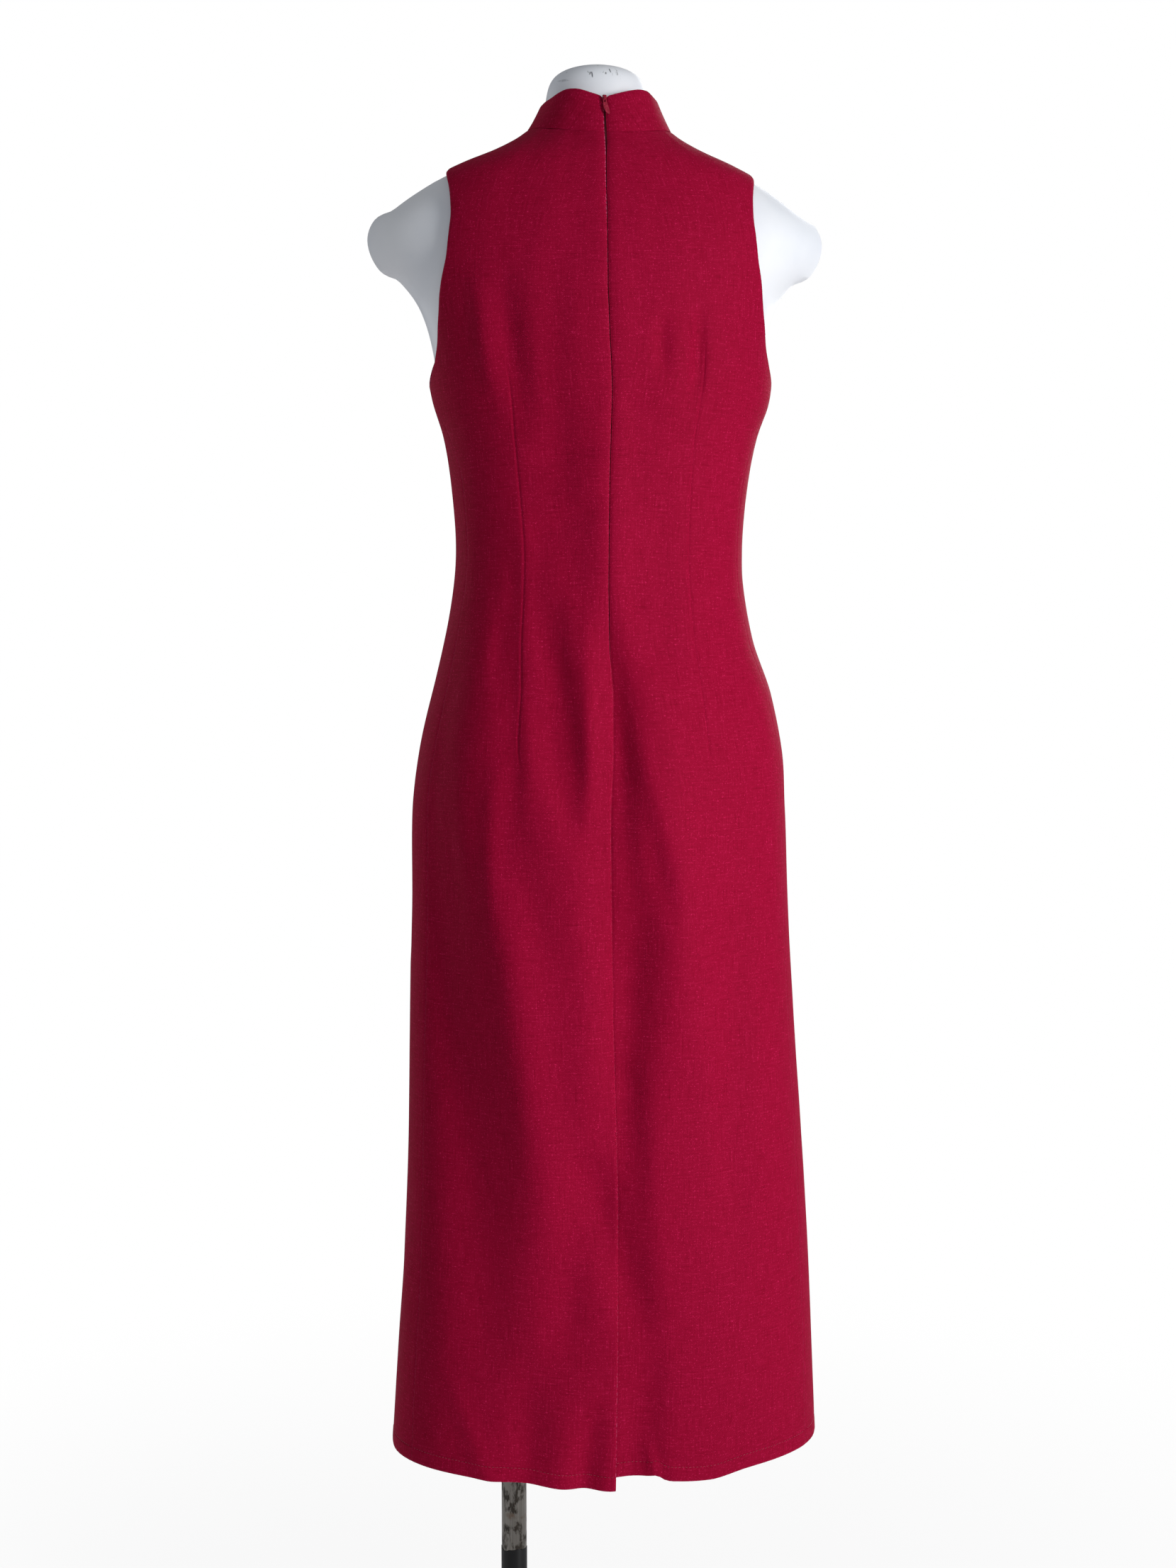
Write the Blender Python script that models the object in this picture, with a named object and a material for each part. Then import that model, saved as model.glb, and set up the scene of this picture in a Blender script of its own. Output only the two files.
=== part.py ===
"""Sleeveless sheath dress with a stand collar, on a limbless dress form.

Metres, +Z up, front of the figure towards -Y, wearer's left towards +X.
The origin is the middle of the base plate's underside.
Angles round the figure are in degrees from centre back (0) over the wearer's
left side (90) to centre front (180); the wearer's right side is -90.
"""

import math
from collections import namedtuple

import bmesh
import bpy
import numpy as np
from mathutils import Matrix, Vector

# Cloth
CLOTH_WALL = 0.0013
COLLAR_WALL = 0.0020
SEAM_GAP = 0.0004
SIDE_SEAM_ANGLE = 74.0
SIDE_SEAM_TURN = 12.0
SIDE_SEAM_TURN_START = 1.120
BACK_COLUMNS = 20
BACK_CROWDING = 1.25
FRONT_COLUMNS = 25
COLLAR_ROWS = 4

# Levels of the dress
SKIRT_TOP = 0.62
VENT_TOP = 0.603
VENT_SLANT = 0.030
VENT_STEP_TOP = 0.653
VENT_STEP_RUN = 0.034
VENT_STEP_START = 0.030
VENT_STEP_BREADTH = 0.026
VENT_UNDERLAP = 0.040
VENT_ROOM = 0.0018
ARMHOLE_BOTTOM = 1.202
YOKE_LEVEL = 1.300
NECK_SIDE = 1.418
NECK_BACK = 1.4065
NECK_FRONT = 1.370

# Sections of the dress from hem to neck: outer half width, sideways shift of the
# middle, depth behind and before the axis, and roundness (2 is an ellipse)
Section = namedtuple("Section", "height half_width shift back front roundness")
SECTIONS = (
    Section(0.240, 0.1935, -0.0085, 0.107, 0.100, 2.25),
    Section(0.350, 0.1872, -0.0095, 0.109, 0.099, 2.25),
    Section(0.450, 0.1812, -0.0103, 0.111, 0.098, 2.20),
    Section(0.550, 0.1759, -0.0090, 0.113, 0.099, 2.20),
    Section(0.650, 0.1712, -0.0062, 0.116, 0.101, 2.15),
    Section(0.750, 0.1672, -0.0040, 0.120, 0.104, 2.10),
    Section(0.835, 0.1646, -0.0031, 0.121, 0.106, 2.10),
    Section(0.885, 0.1600, -0.0052, 0.116, 0.106, 2.10),
    Section(0.935, 0.1494, -0.0058, 0.108, 0.104, 2.10),
    Section(0.985, 0.1352, -0.0032, 0.096, 0.099, 2.10),
    Section(1.035, 0.1268, -0.0030, 0.086, 0.094, 2.10),
    Section(1.060, 0.1257, -0.0034, 0.084, 0.093, 2.10),
    Section(1.110, 0.1290, -0.0037, 0.087, 0.098, 2.10),
    Section(1.158, 0.1368, -0.0044, 0.093, 0.112, 2.10),
    Section(1.190, 0.1470, -0.0050, 0.098, 0.121, 2.05),
    Section(1.210, 0.1500, -0.0042, 0.101, 0.122, 2.05),
    Section(1.230, 0.1516, -0.0030, 0.102, 0.119, 2.05),
    Section(1.253, 0.1550, -0.0020, 0.103, 0.115, 2.00),
    Section(1.277, 0.1600, -0.0010, 0.103, 0.108, 2.00),
    Section(1.300, 0.1660, -0.0010, 0.101, 0.101, 2.00),
    Section(1.327, 0.1680, -0.0010, 0.097, 0.092, 2.00),
    Section(1.352, 0.1610, -0.0010, 0.090, 0.081, 2.00),
    Section(1.376, 0.1455, -0.0015, 0.081, 0.069, 2.00),
    Section(1.388, 0.1225, -0.0020, 0.076, 0.063, 2.00),
    Section(1.400, 0.0935, -0.0025, 0.069, 0.058, 2.00),
    Section(1.410, 0.0740, -0.0025, 0.063, 0.055, 2.00),
    Section(1.418, 0.0625, -0.0025, 0.059, 0.053, 2.00),
)

# Edge of each armhole: how far round the figure each panel reaches, counted
# from centre back and from centre front
Armhole = namedtuple("Armhole", "height back_reach front_reach")
ARMHOLE = (
    Armhole(1.2020, 86.0, 94.0),
    Armhole(1.2028, 85.7, 91.5),
    Armhole(1.2042, 85.0, 89.0),
    Armhole(1.2068, 83.6, 86.3),
    Armhole(1.2108, 81.4, 83.0),
    Armhole(1.2170, 78.8, 79.0),
    Armhole(1.2300, 75.6, 73.0),
    Armhole(1.2550, 72.2, 66.0),
    Armhole(1.2800, 68.5, 61.5),
    Armhole(1.3050, 65.0, 58.5),
    Armhole(1.3300, 64.5, 59.0),
    Armhole(1.3520, 67.0, 63.0),
    Armhole(1.3700, 72.0, 70.5),
    Armhole(1.3790, 77.5, 77.0),
    Armhole(1.3845, 83.5, 83.5),
    Armhole(1.3880, 90.0, 90.0),
)

# Hem level round the figure; the left back panel sags to its vent corner
HemLevel = namedtuple("HemLevel", "angle height")
HEM_LEFT = (
    HemLevel(0.0, 0.2540),
    HemLevel(40.0, 0.2585),
    HemLevel(90.0, 0.2605),
    HemLevel(180.0, 0.2590),
)
HEM_RIGHT = (
    HemLevel(0.0, 0.2640),
    HemLevel(40.0, 0.2595),
    HemLevel(53.0, 0.2645),
    HemLevel(65.0, 0.2668),
    HemLevel(90.0, 0.2685),
    HemLevel(180.0, 0.2590),
)

# Largest folds: each runs straight between two places, given as an angle and a
# height; depth is positive outwards, width is the reach to either side
Fold = namedtuple("Fold", "top_angle top bottom_angle bottom depth width")
FOLDS = (
    Fold(22.0, 1.342, 32.5, 1.044, -0.0020, 0.0145),
    Fold(44.5, 1.298, 41.5, 1.158, -0.0035, 0.0115),
    Fold(54.5, 1.288, 52.5, 1.186, 0.0027, 0.0095),
    Fold(-41.5, 1.262, -39.5, 1.184, -0.0041, 0.0060),
    Fold(-24.5, 1.256, -24.0, 1.202, -0.0033, 0.0080),
    Fold(4.0, 1.200, 0.5, 0.934, 0.0059, 0.0215),
    Fold(47.0, 1.106, 30.5, 0.816, 0.0028, 0.0095),
    Fold(45.0, 1.054, 34.0, 0.810, -0.0042, 0.0185),
    Fold(2.0, 1.038, -9.0, 0.760, -0.0051, 0.0115),
    Fold(21.5, 1.032, 13.0, 0.874, 0.0030, 0.0100),
    Fold(31.0, 1.026, 12.0, 0.802, -0.0074, 0.0190),
    Fold(54.0, 1.022, 47.5, 0.924, -0.0013, 0.0075),
    Fold(12.5, 1.010, 9.0, 0.818, 0.0040, 0.0085),
    Fold(72.5, 1.002, 65.0, 0.590, -0.0030, 0.0155),
    Fold(6.5, 1.000, -8.5, 0.610, -0.0052, 0.0225),
    Fold(37.5, 0.996, 25.5, 0.872, 0.0009, 0.0070),
    Fold(-17.5, 0.974, -32.5, 0.590, 0.0075, 0.0260),
    Fold(35.5, 0.954, 17.0, 0.826, -0.0028, 0.0110),
    Fold(-8.5, 0.922, -25.5, 0.760, 0.0024, 0.0090),
    Fold(64.5, 0.904, 58.0, 0.686, -0.0018, 0.0110),
    Fold(2.5, 0.890, 0.5, 0.600, -0.0050, 0.0175),
    Fold(45.0, 0.890, 45.5, 0.716, 0.0026, 0.0100),
    Fold(-12.5, 0.872, -23.5, 0.744, -0.0035, 0.0115),
    Fold(-47.5, 0.872, -47.5, 0.430, -0.0054, 0.0235),
    Fold(70.0, 0.862, 45.5, 0.270, -0.0085, 0.0295),
    Fold(43.5, 0.848, 18.5, 0.666, -0.0023, 0.0190),
    Fold(-14.0, 0.822, 1.5, 0.484, -0.0085, 0.0205),
    Fold(42.5, 0.816, 29.0, 0.448, 0.0075, 0.0205),
    Fold(-7.5, 0.620, -15.5, 0.294, -0.0025, 0.0125),
    Fold(12.0, 0.596, 25.0, 0.334, -0.0052, 0.0205),
    Fold(11.0, 0.552, -10.0, 0.382, -0.0085, 0.0200),
    Fold(-13.0, 0.384, -8.0, 0.168, -0.0061, 0.0180),
    Fold(35.0, 0.380, 39.0, 0.172, -0.0058, 0.0185),
    Fold(61.5, 0.350, 40.0, 0.188, 0.0023, 0.0090),
    Fold(11.5, 0.336, 17.0, 0.176, -0.0075, 0.0130),
    Fold(100.0, 0.920, 94.0, 0.700, -0.0030, 0.014),
    Fold(-98.0, 0.900, -102.0, 0.650, -0.0030, 0.014),
    Fold(118.0, 0.560, 110.0, 0.150, -0.0040, 0.018),
    Fold(-112.0, 0.600, -104.0, 0.150, 0.0040, 0.020),
    Fold(152.0, 1.030, 164.0, 0.850, -0.0035, 0.013),
    Fold(-155.0, 1.020, -166.0, 0.860, -0.0032, 0.012),
    Fold(146.0, 1.250, 152.0, 1.170, -0.0018, 0.010),
    Fold(-147.0, 1.245, -151.0, 1.165, -0.0018, 0.010),
    Fold(168.0, 0.760, 152.0, 0.450, 0.0035, 0.022),
    Fold(-160.0, 0.700, -144.0, 0.400, -0.0035, 0.018),
    Fold(140.0, 0.520, 134.0, 0.150, -0.0035, 0.015),
    Fold(-176.0, 0.480, -172.0, 0.150, -0.0035, 0.016),
    Fold(-136.0, 0.440, -130.0, 0.150, 0.0035, 0.016),
)

# Room between the dress and the form, at each height
Ease = namedtuple("Ease", "height room")
EASE = (
    Ease(0.760, 0.0125),
    Ease(0.880, 0.0115),
    Ease(0.960, 0.0085),
    Ease(1.060, 0.0054),
    Ease(1.160, 0.0048),
    Ease(1.225, 0.0056),
    Ease(1.260, 0.0042),
    Ease(1.300, 0.0028),
    Ease(1.340, 0.0024),
    Ease(1.380, 0.0026),
    Ease(1.396, 0.0020),
    Ease(1.408, 0.0008),
)
ZIP_ROOM = 0.0013

# Dress form: its neck above the shoulders, and its rounded foot
NeckRing = namedtuple("NeckRing", "height half_width back front")
FORM_NECK = (
    NeckRing(1.4180, 0.0548, 0.0530, 0.0490),
    NeckRing(1.4290, 0.0480, 0.0462, 0.0478),
    NeckRing(1.4400, 0.0446, 0.0432, 0.0472),
    NeckRing(1.4524, 0.0432, 0.0424, 0.0470),
    NeckRing(1.4624, 0.0397, 0.0394, 0.0440),
    NeckRing(1.4689, 0.0315, 0.0312, 0.0352),
    NeckRing(1.4729, 0.0175, 0.0173, 0.0202),
)
NECK_SHIFT = -0.0008
FORM_TOP = 1.4744
FORM_FOOT = 0.766
FORM_FOOT_ROUNDING = 0.022
FORM_SIDES = 32
NECK_JOIN = 1.412

# Rounded shoulder caps of the form, as one bar from shoulder to shoulder
CapSection = namedtuple("CapSection", "height half_width half_depth")
FORM_CAPS = (
    CapSection(1.240, 0.1300, 0.020),
    CapSection(1.262, 0.1500, 0.032),
    CapSection(1.280, 0.1665, 0.044),
    CapSection(1.300, 0.1885, 0.052),
    CapSection(1.327, 0.1985, 0.056),
    CapSection(1.352, 0.1835, 0.053),
    CapSection(1.372, 0.1500, 0.047),
    CapSection(1.388, 0.1100, 0.040),
    CapSection(1.412, 0.0500, 0.030),
)
CAP_ROUNDNESS = 2.3
CAP_BLEND = 0.010

# Collar: height of its top edge round the neck, and how far that edge leans in
CollarPlace = namedtuple("CollarPlace", "angle top lean")
COLLAR_LEFT = (
    CollarPlace(0.0, 1.4375, 0.0125),
    CollarPlace(12.0, 1.4412, 0.0125),
    CollarPlace(24.0, 1.4448, 0.0130),
    CollarPlace(36.0, 1.4460, 0.0140),
    CollarPlace(48.0, 1.4445, 0.0152),
    CollarPlace(60.0, 1.4425, 0.0155),
    CollarPlace(75.0, 1.4418, 0.0140),
    CollarPlace(90.0, 1.4398, 0.0120),
    CollarPlace(110.0, 1.4340, 0.0115),
    CollarPlace(140.0, 1.4200, 0.0105),
    CollarPlace(180.0, 1.4055, 0.0090),
)
COLLAR_RIGHT = (
    CollarPlace(0.0, 1.4375, 0.0125),
    CollarPlace(12.0, 1.4408, 0.0125),
    CollarPlace(24.0, 1.4440, 0.0125),
    CollarPlace(36.0, 1.4466, 0.0130),
    CollarPlace(46.0, 1.4470, 0.0130),
    CollarPlace(54.0, 1.4455, 0.0130),
    CollarPlace(62.0, 1.4442, 0.0128),
    CollarPlace(75.0, 1.4440, 0.0122),
    CollarPlace(90.0, 1.4430, 0.0118),
    CollarPlace(110.0, 1.4370, 0.0112),
    CollarPlace(140.0, 1.4215, 0.0105),
    CollarPlace(180.0, 1.4055, 0.0090),
)
COLLAR_BOW = 0.15
COLLAR_CORNER = 0.004
COLLAR_CORNER_STEPS = (0.0, 0.10, 0.28, 0.55, 1.0)
COLLAR_INNER_TILT = 0.25
COLLAR_BACK_NORMAL = (0.0, 0.94, 0.34)

# Zip, from the collar's top down centre back
ZIP_BOTTOM = 0.950
ZIP_TAPE_HALF_WIDTH = 0.0048
ZIP_BEHIND = 0.0009
ZIP_TAPE_WALL = 0.0008
SLIDER_WIDTH = 0.0036
SLIDER_LENGTH = 0.0066
SLIDER_DEPTH = 0.0016
SLIDER_BELOW_TOP = 0.0024
SLIDER_BEVEL = 0.0003
SLIDER_TAPER = 0.72
LOOP_WIRE = 0.0008
LOOP_HALF_LENGTH = 0.0023
LOOP_REACH = 0.0028
LOOP_ROOT = 0.0006
PULL_THICKNESS = 0.0009
PULL_EYE_HALF_WIDTH = 0.00075
PULL_EYE_LENGTH = 0.0042
PULL_BAR = 0.0010
PULL_HINGE_OUT = 0.00085

# Outline of the pull: a leaf that bends to the wearer's right towards its tip
PullSection = namedtuple("PullSection", "below half_width shift")
PULL_LEAF = (
    PullSection(-0.0005, 0.00105, 0.0),
    PullSection(0.0002, 0.00135, 0.0),
    PullSection(0.0045, 0.00150, -0.0001),
    PullSection(0.0075, 0.00200, -0.0005),
    PullSection(0.0100, 0.00210, -0.0010),
    PullSection(0.0125, 0.00185, -0.0017),
    PullSection(0.0143, 0.00140, -0.0023),
    PullSection(0.0153, 0.00090, -0.0026),
    PullSection(0.0157, 0.00030, -0.0027),
)

# Finishes: colour, roughness, metallic
RED_CLOTH = ((0.33, 0.006, 0.028), 0.72, 0.0)
RED_ZIP_TAPE = ((0.20, 0.006, 0.022), 0.45, 0.0)
RED_METAL = ((0.16, 0.008, 0.020), 0.35, 0.6)
WHITE_SHELL = ((0.78, 0.79, 0.82), 0.42, 0.0)
WORN_STEEL = ((0.36, 0.34, 0.32), 0.38, 1.0)
BLACK_PAINT = ((0.012, 0.012, 0.013), 0.5, 0.0)

# Stand
POLE_X = 0.0740
POLE_RADIUS = 0.0113
POLE_SPIGOT_RADIUS = 0.0085
POLE_SPIGOT_LENGTH = 0.060
POLE_STEEL_FOOT = 0.163
POLE_IN_FORM = 0.090
SLEEVE_RADIUS = 0.0117
STAND_GAP = 0.0004
BASE_RADIUS = 0.170
BASE_THICKNESS = 0.006
BASE_BEVEL = 0.0020
HUB_RADIUS = 0.032
HUB_HEIGHT = 0.024
HUB_BEVEL = 0.004
TURNED_SIDES = 32


def smooth_curve(places, values, at):
    """Smooth curve through a table's values, level beyond its ends."""
    x = np.asarray(places, float)
    y = np.asarray(values, float)
    steps = np.diff(y) / np.diff(x)
    slopes = np.zeros_like(y)
    same_way = steps[:-1] * steps[1:] > 0.0
    lean = 0.5 * (steps[:-1] + steps[1:])
    cap = 3.0 * np.minimum(abs(steps[:-1]), abs(steps[1:]))
    slopes[1:-1] = np.where(same_way, np.sign(lean) * np.minimum(abs(lean), cap), 0.0)
    slopes[0] = steps[0]
    slopes[-1] = steps[-1]
    at = np.clip(np.asarray(at, float), x[0], x[-1])
    i = np.clip(np.searchsorted(x, at, side="right") - 1, 0, len(x) - 2)
    span = x[i + 1] - x[i]
    t = (at - x[i]) / span
    return (
        (1 + 2 * t) * (1 - t) ** 2 * y[i]
        + t * (1 - t) ** 2 * span * slopes[i]
        + t * t * (3 - 2 * t) * y[i + 1]
        + t * t * (t - 1) * span * slopes[i + 1]
    )


def eased(share):
    """Share from 0 to 1 with a soft start and end."""
    return share * share * (3.0 - 2.0 * share)


def column(table, name):
    return [getattr(row, name) for row in table]


def along(table, name, at, key="height"):
    """A table's column read smoothly at a height, or at another key."""
    return smooth_curve(column(table, key), column(table, name), at)


def section_point(angle, height):
    """Point of the dress's smooth outer form, before its folds."""
    angle, height = np.broadcast_arrays(np.asarray(angle, float), np.asarray(height, float))
    side = np.sin(np.radians(angle))
    back = np.cos(np.radians(angle))
    half_width = along(SECTIONS, "half_width", height)
    depth = np.where(back > 0, along(SECTIONS, "back", height), along(SECTIONS, "front", height))
    power = along(SECTIONS, "roundness", height)
    reach = ((abs(side) / half_width) ** power + (abs(back) / depth) ** power) ** (-1 / power)
    shift = along(SECTIONS, "shift", height)
    return np.stack([shift + reach * side, reach * back, height], axis=-1)


def outward(surface, angle, height):
    """Unit normal of a surface of angle and height, by small steps."""
    turn = 0.2
    rise = 0.0004
    across = surface(angle + turn, height) - surface(angle - turn, height)
    up = surface(angle, height + rise) - surface(angle, height - rise)
    normal = np.cross(up, across)
    return normal / np.linalg.norm(normal, axis=-1, keepdims=True)


def fold_depth(angle, height):
    """How far the folds move the cloth out at a place."""
    angle = (np.asarray(angle, float) + 180.0) % 360.0 - 180.0
    point = section_point(angle, height)
    reach = np.hypot(point[..., 0], point[..., 1])
    depth = np.zeros(np.shape(reach))
    for fold in FOLDS:
        t = (height - fold.bottom) / (fold.top - fold.bottom)
        middle = fold.bottom_angle + (fold.top_angle - fold.bottom_angle) * t
        turned = (angle - middle + 180.0) % 360.0 - 180.0
        across = np.radians(turned) * reach / fold.width
        inside = np.clip(t, 0.0, 1.0)
        fade = np.sin(math.pi * inside) ** 0.8
        depth += fold.depth * fade * np.exp(-across * across)
    return depth


def dress_point(angle, height):
    """Point of the dress's outer face, folds included."""
    normal = outward(section_point, np.asarray(angle, float), np.asarray(height, float))
    return section_point(angle, height) + normal * fold_depth(angle, height)[..., None]


def hem_level(angle):
    """Height of the hem at an angle; the right side's angles are negative."""
    angle = (np.asarray(angle, float) + 180.0) % 360.0 - 180.0
    left = along(HEM_LEFT, "height", abs(angle), "angle")
    right = along(HEM_RIGHT, "height", abs(angle), "angle")
    return np.where(angle >= 0, left, right)


def neck_level(angle):
    """Height of the neckline, lower at centre front."""
    back = np.cos(np.radians(np.asarray(angle, float)))
    drop = np.where(back > 0, NECK_SIDE - NECK_BACK, NECK_SIDE - NECK_FRONT)
    return NECK_SIDE - drop * back * back


def row_height(level, angle):
    """True height of a panel's row: the lowest rows follow the hem, the highest the neckline."""
    lowest = PANEL_ROWS[0]
    if level < SKIRT_TOP:
        return SKIRT_TOP - (SKIRT_TOP - hem_level(angle)) * (SKIRT_TOP - level) / (SKIRT_TOP - lowest)
    if level > YOKE_LEVEL:
        share = (level - YOKE_LEVEL) / (NECK_SIDE - YOKE_LEVEL)
        return YOKE_LEVEL + (neck_level(angle) - YOKE_LEVEL) * share
    return np.full(np.shape(angle), level)


PANEL_ROWS = (
    0.255, 0.290, 0.335, 0.385, 0.435, 0.485, 0.535, 0.572, 0.592, 0.604, 0.625, 0.655, 0.700,
    0.745, 0.790, 0.835, 0.880, 0.920, 0.960, 1.000, 1.040, 1.080, 1.120, 1.162, 1.202, 1.2028,
    1.2042, 1.2068, 1.2108, 1.217, 1.230, 1.255, 1.280, 1.300, 1.320, 1.340, 1.357, 1.370, 1.379,
    1.3845, 1.388, 1.3965, 1.405, 1.412, 1.418,
)


def seam_inset(angle, height):
    """Half a seam's gap, as an angle."""
    point = section_point(angle, height)
    return math.degrees(0.5 * SEAM_GAP / float(np.hypot(point[0], point[1])))


def side_seam(height):
    """Angle of the side seam, which leans forward below the armhole."""
    share = (height - SIDE_SEAM_TURN_START) / (ARMHOLE_BOTTOM - SIDE_SEAM_TURN_START)
    return SIDE_SEAM_ANGLE + SIDE_SEAM_TURN * eased(min(1.0, max(0.0, share)))


def back_reach(height):
    """Angle from centre back to a back panel's side edge."""
    if height < ARMHOLE_BOTTOM:
        return side_seam(height)
    return float(along(ARMHOLE, "back_reach", height))


def front_reach(height):
    """Angle from centre front to the front panel's side edge."""
    if height < ARMHOLE_BOTTOM:
        return 180.0 - side_seam(height)
    return float(along(ARMHOLE, "front_reach", height))


def under_step(side, angle, height):
    """How far the vent's underlap is set in under the panel that laps over it."""
    if side > 0:
        return np.zeros(np.shape(angle))
    point = section_point(angle, height)
    across = point[..., 0] - along(SECTIONS, "shift", height)
    near = np.clip((across + VENT_STEP_START) / VENT_STEP_BREADTH, 0.0, 1.0)
    low = np.clip((VENT_STEP_TOP - height) / VENT_STEP_RUN, 0.0, 1.0)
    return (CLOTH_WALL + VENT_ROOM) * eased(near) * eased(low)


def closed_wall(name, outer, inner, material):
    """One closed body between two grids of points, outer face out."""
    rows, columns = outer.shape[:2]
    count = rows * columns
    points = [tuple(p) for p in outer.reshape(-1, 3)] + [tuple(p) for p in inner.reshape(-1, 3)]
    faces = []
    for i in range(rows - 1):
        for j in range(columns - 1):
            a = i * columns + j
            quad = (a, a + 1, a + columns + 1, a + columns)
            faces.append(quad)
            faces.append(tuple(count + k for k in reversed(quad)))
    rim = [j for j in range(columns)]
    rim += [i * columns + columns - 1 for i in range(1, rows)]
    rim += [(rows - 1) * columns + j for j in range(columns - 2, -1, -1)]
    rim += [i * columns for i in range(rows - 2, 0, -1)]
    for k, a in enumerate(rim):
        b = rim[(k + 1) % len(rim)]
        faces.append((b, a, count + a, count + b))
    return add_piece(name, outward_mesh(name, points, faces), material, smooth_below=40.0)


def outward_mesh(name, points, faces):
    """Mesh whose faces all point outwards."""
    mesh = bpy.data.meshes.new(name)
    mesh.from_pydata(points, [], faces)
    mesh.validate()
    shape = bmesh.new()
    shape.from_mesh(mesh)
    bmesh.ops.recalc_face_normals(shape, faces=shape.faces)
    shape.to_mesh(mesh)
    shape.free()
    return mesh


def add_piece(name, mesh, material, smooth_below=None):
    """Put a mesh in the scene as one named piece."""
    piece = bpy.data.objects.new(name, mesh)
    bpy.context.scene.collection.objects.link(piece)
    mesh.materials.append(material)
    if smooth_below is not None:
        mesh.shade_smooth()
        mesh.set_sharp_from_angle(angle=math.radians(smooth_below))
    return piece


def finish_material(name, finish):
    colour, roughness, metallic = finish
    material = bpy.data.materials.new(name)
    material.use_nodes = True
    shader = material.node_tree.nodes["Principled BSDF"]
    shader.inputs["Base Color"].default_value = (*colour, 1.0)
    shader.inputs["Roughness"].default_value = roughness
    shader.inputs["Metallic"].default_value = metallic
    return material


def wall_between(name, angles, heights, set_in, wall, material):
    """Cloth panel on the dress's form, from grids of angles and heights."""
    normal = outward(dress_point, angles, heights)
    outer = dress_point(angles, heights) - normal * set_in[..., None]
    inner = outer - normal * wall
    return closed_wall(name, outer, inner, material)


def panel_places(shares, start, reach):
    """Grid of angles and heights; start and reach give each row's two edges by height."""
    angles = np.zeros((len(PANEL_ROWS), len(shares)))
    heights = np.zeros_like(angles)
    for i, level in enumerate(PANEL_ROWS):
        for j, share in enumerate(shares):
            height = level
            for _ in range(6):
                angle = start(height) + (reach(height) - start(height)) * share
                height = float(row_height(level, angle))
            angles[i, j] = angle
            heights[i, j] = height
    return angles, heights


def back_panel(side, material):
    """Back panel on one side: +1 is the wearer's left, -1 the right."""

    def start(height):
        seam = seam_inset(0.0, height)
        if side > 0 or height > VENT_TOP:
            return side * seam
        reach = VENT_UNDERLAP * min(1.0, (VENT_TOP - height) / VENT_SLANT)
        depth = float(section_point(0.0, height)[1])
        return math.degrees(math.atan2(reach, depth))

    def end(height):
        reach = back_reach(height)
        return side * (reach - seam_inset(side * reach, height))

    shares = np.linspace(0.0, 1.0, BACK_COLUMNS) ** BACK_CROWDING
    angles, heights = panel_places(shares, start, end)
    if side > 0:
        angles = angles[:, ::-1]
        heights = heights[:, ::-1]
    set_in = under_step(side, angles, heights)
    name = "back_panel_left" if side > 0 else "back_panel_right"
    return wall_between(name, angles, heights, set_in, CLOTH_WALL, material)


def front_panel(material):
    def start(height):
        reach = front_reach(height)
        return 180.0 - reach + seam_inset(180.0 - reach, height)

    def end(height):
        reach = front_reach(height)
        return 180.0 + reach - seam_inset(180.0 + reach, height)

    shares = np.linspace(1.0, 0.0, FRONT_COLUMNS)
    angles, heights = panel_places(shares, start, end)
    set_in = np.zeros_like(angles)
    return wall_between("front_panel", angles, heights, set_in, CLOTH_WALL, material)


def collar_place(name, angle):
    """A column of the collar's tables at an angle, the wearer's right side negative."""
    left = along(COLLAR_LEFT, name, abs(angle), "angle")
    right = along(COLLAR_RIGHT, name, abs(angle), "angle")
    return np.where(angle >= 0, left, right)


def collar_point(angle, share):
    """Point of the collar's outer face; share runs from the neck seam up to the top."""
    angle = np.asarray(angle, float)
    base_height = neck_level(angle)
    base = dress_point(angle, base_height)
    middle = along(SECTIONS, "shift", NECK_SIDE)
    across = np.stack([base[..., 0] - middle, base[..., 1]], axis=-1)
    across /= np.linalg.norm(across, axis=-1, keepdims=True)
    bow = share * (1.0 + COLLAR_BOW - COLLAR_BOW * share)
    point = base.copy()
    point[..., :2] -= across * (collar_place("lean", angle) * bow)[..., None]
    foot = base_height + SEAM_GAP
    point[..., 2] = foot + (collar_place("top", angle) - foot) * share
    return point


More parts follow.
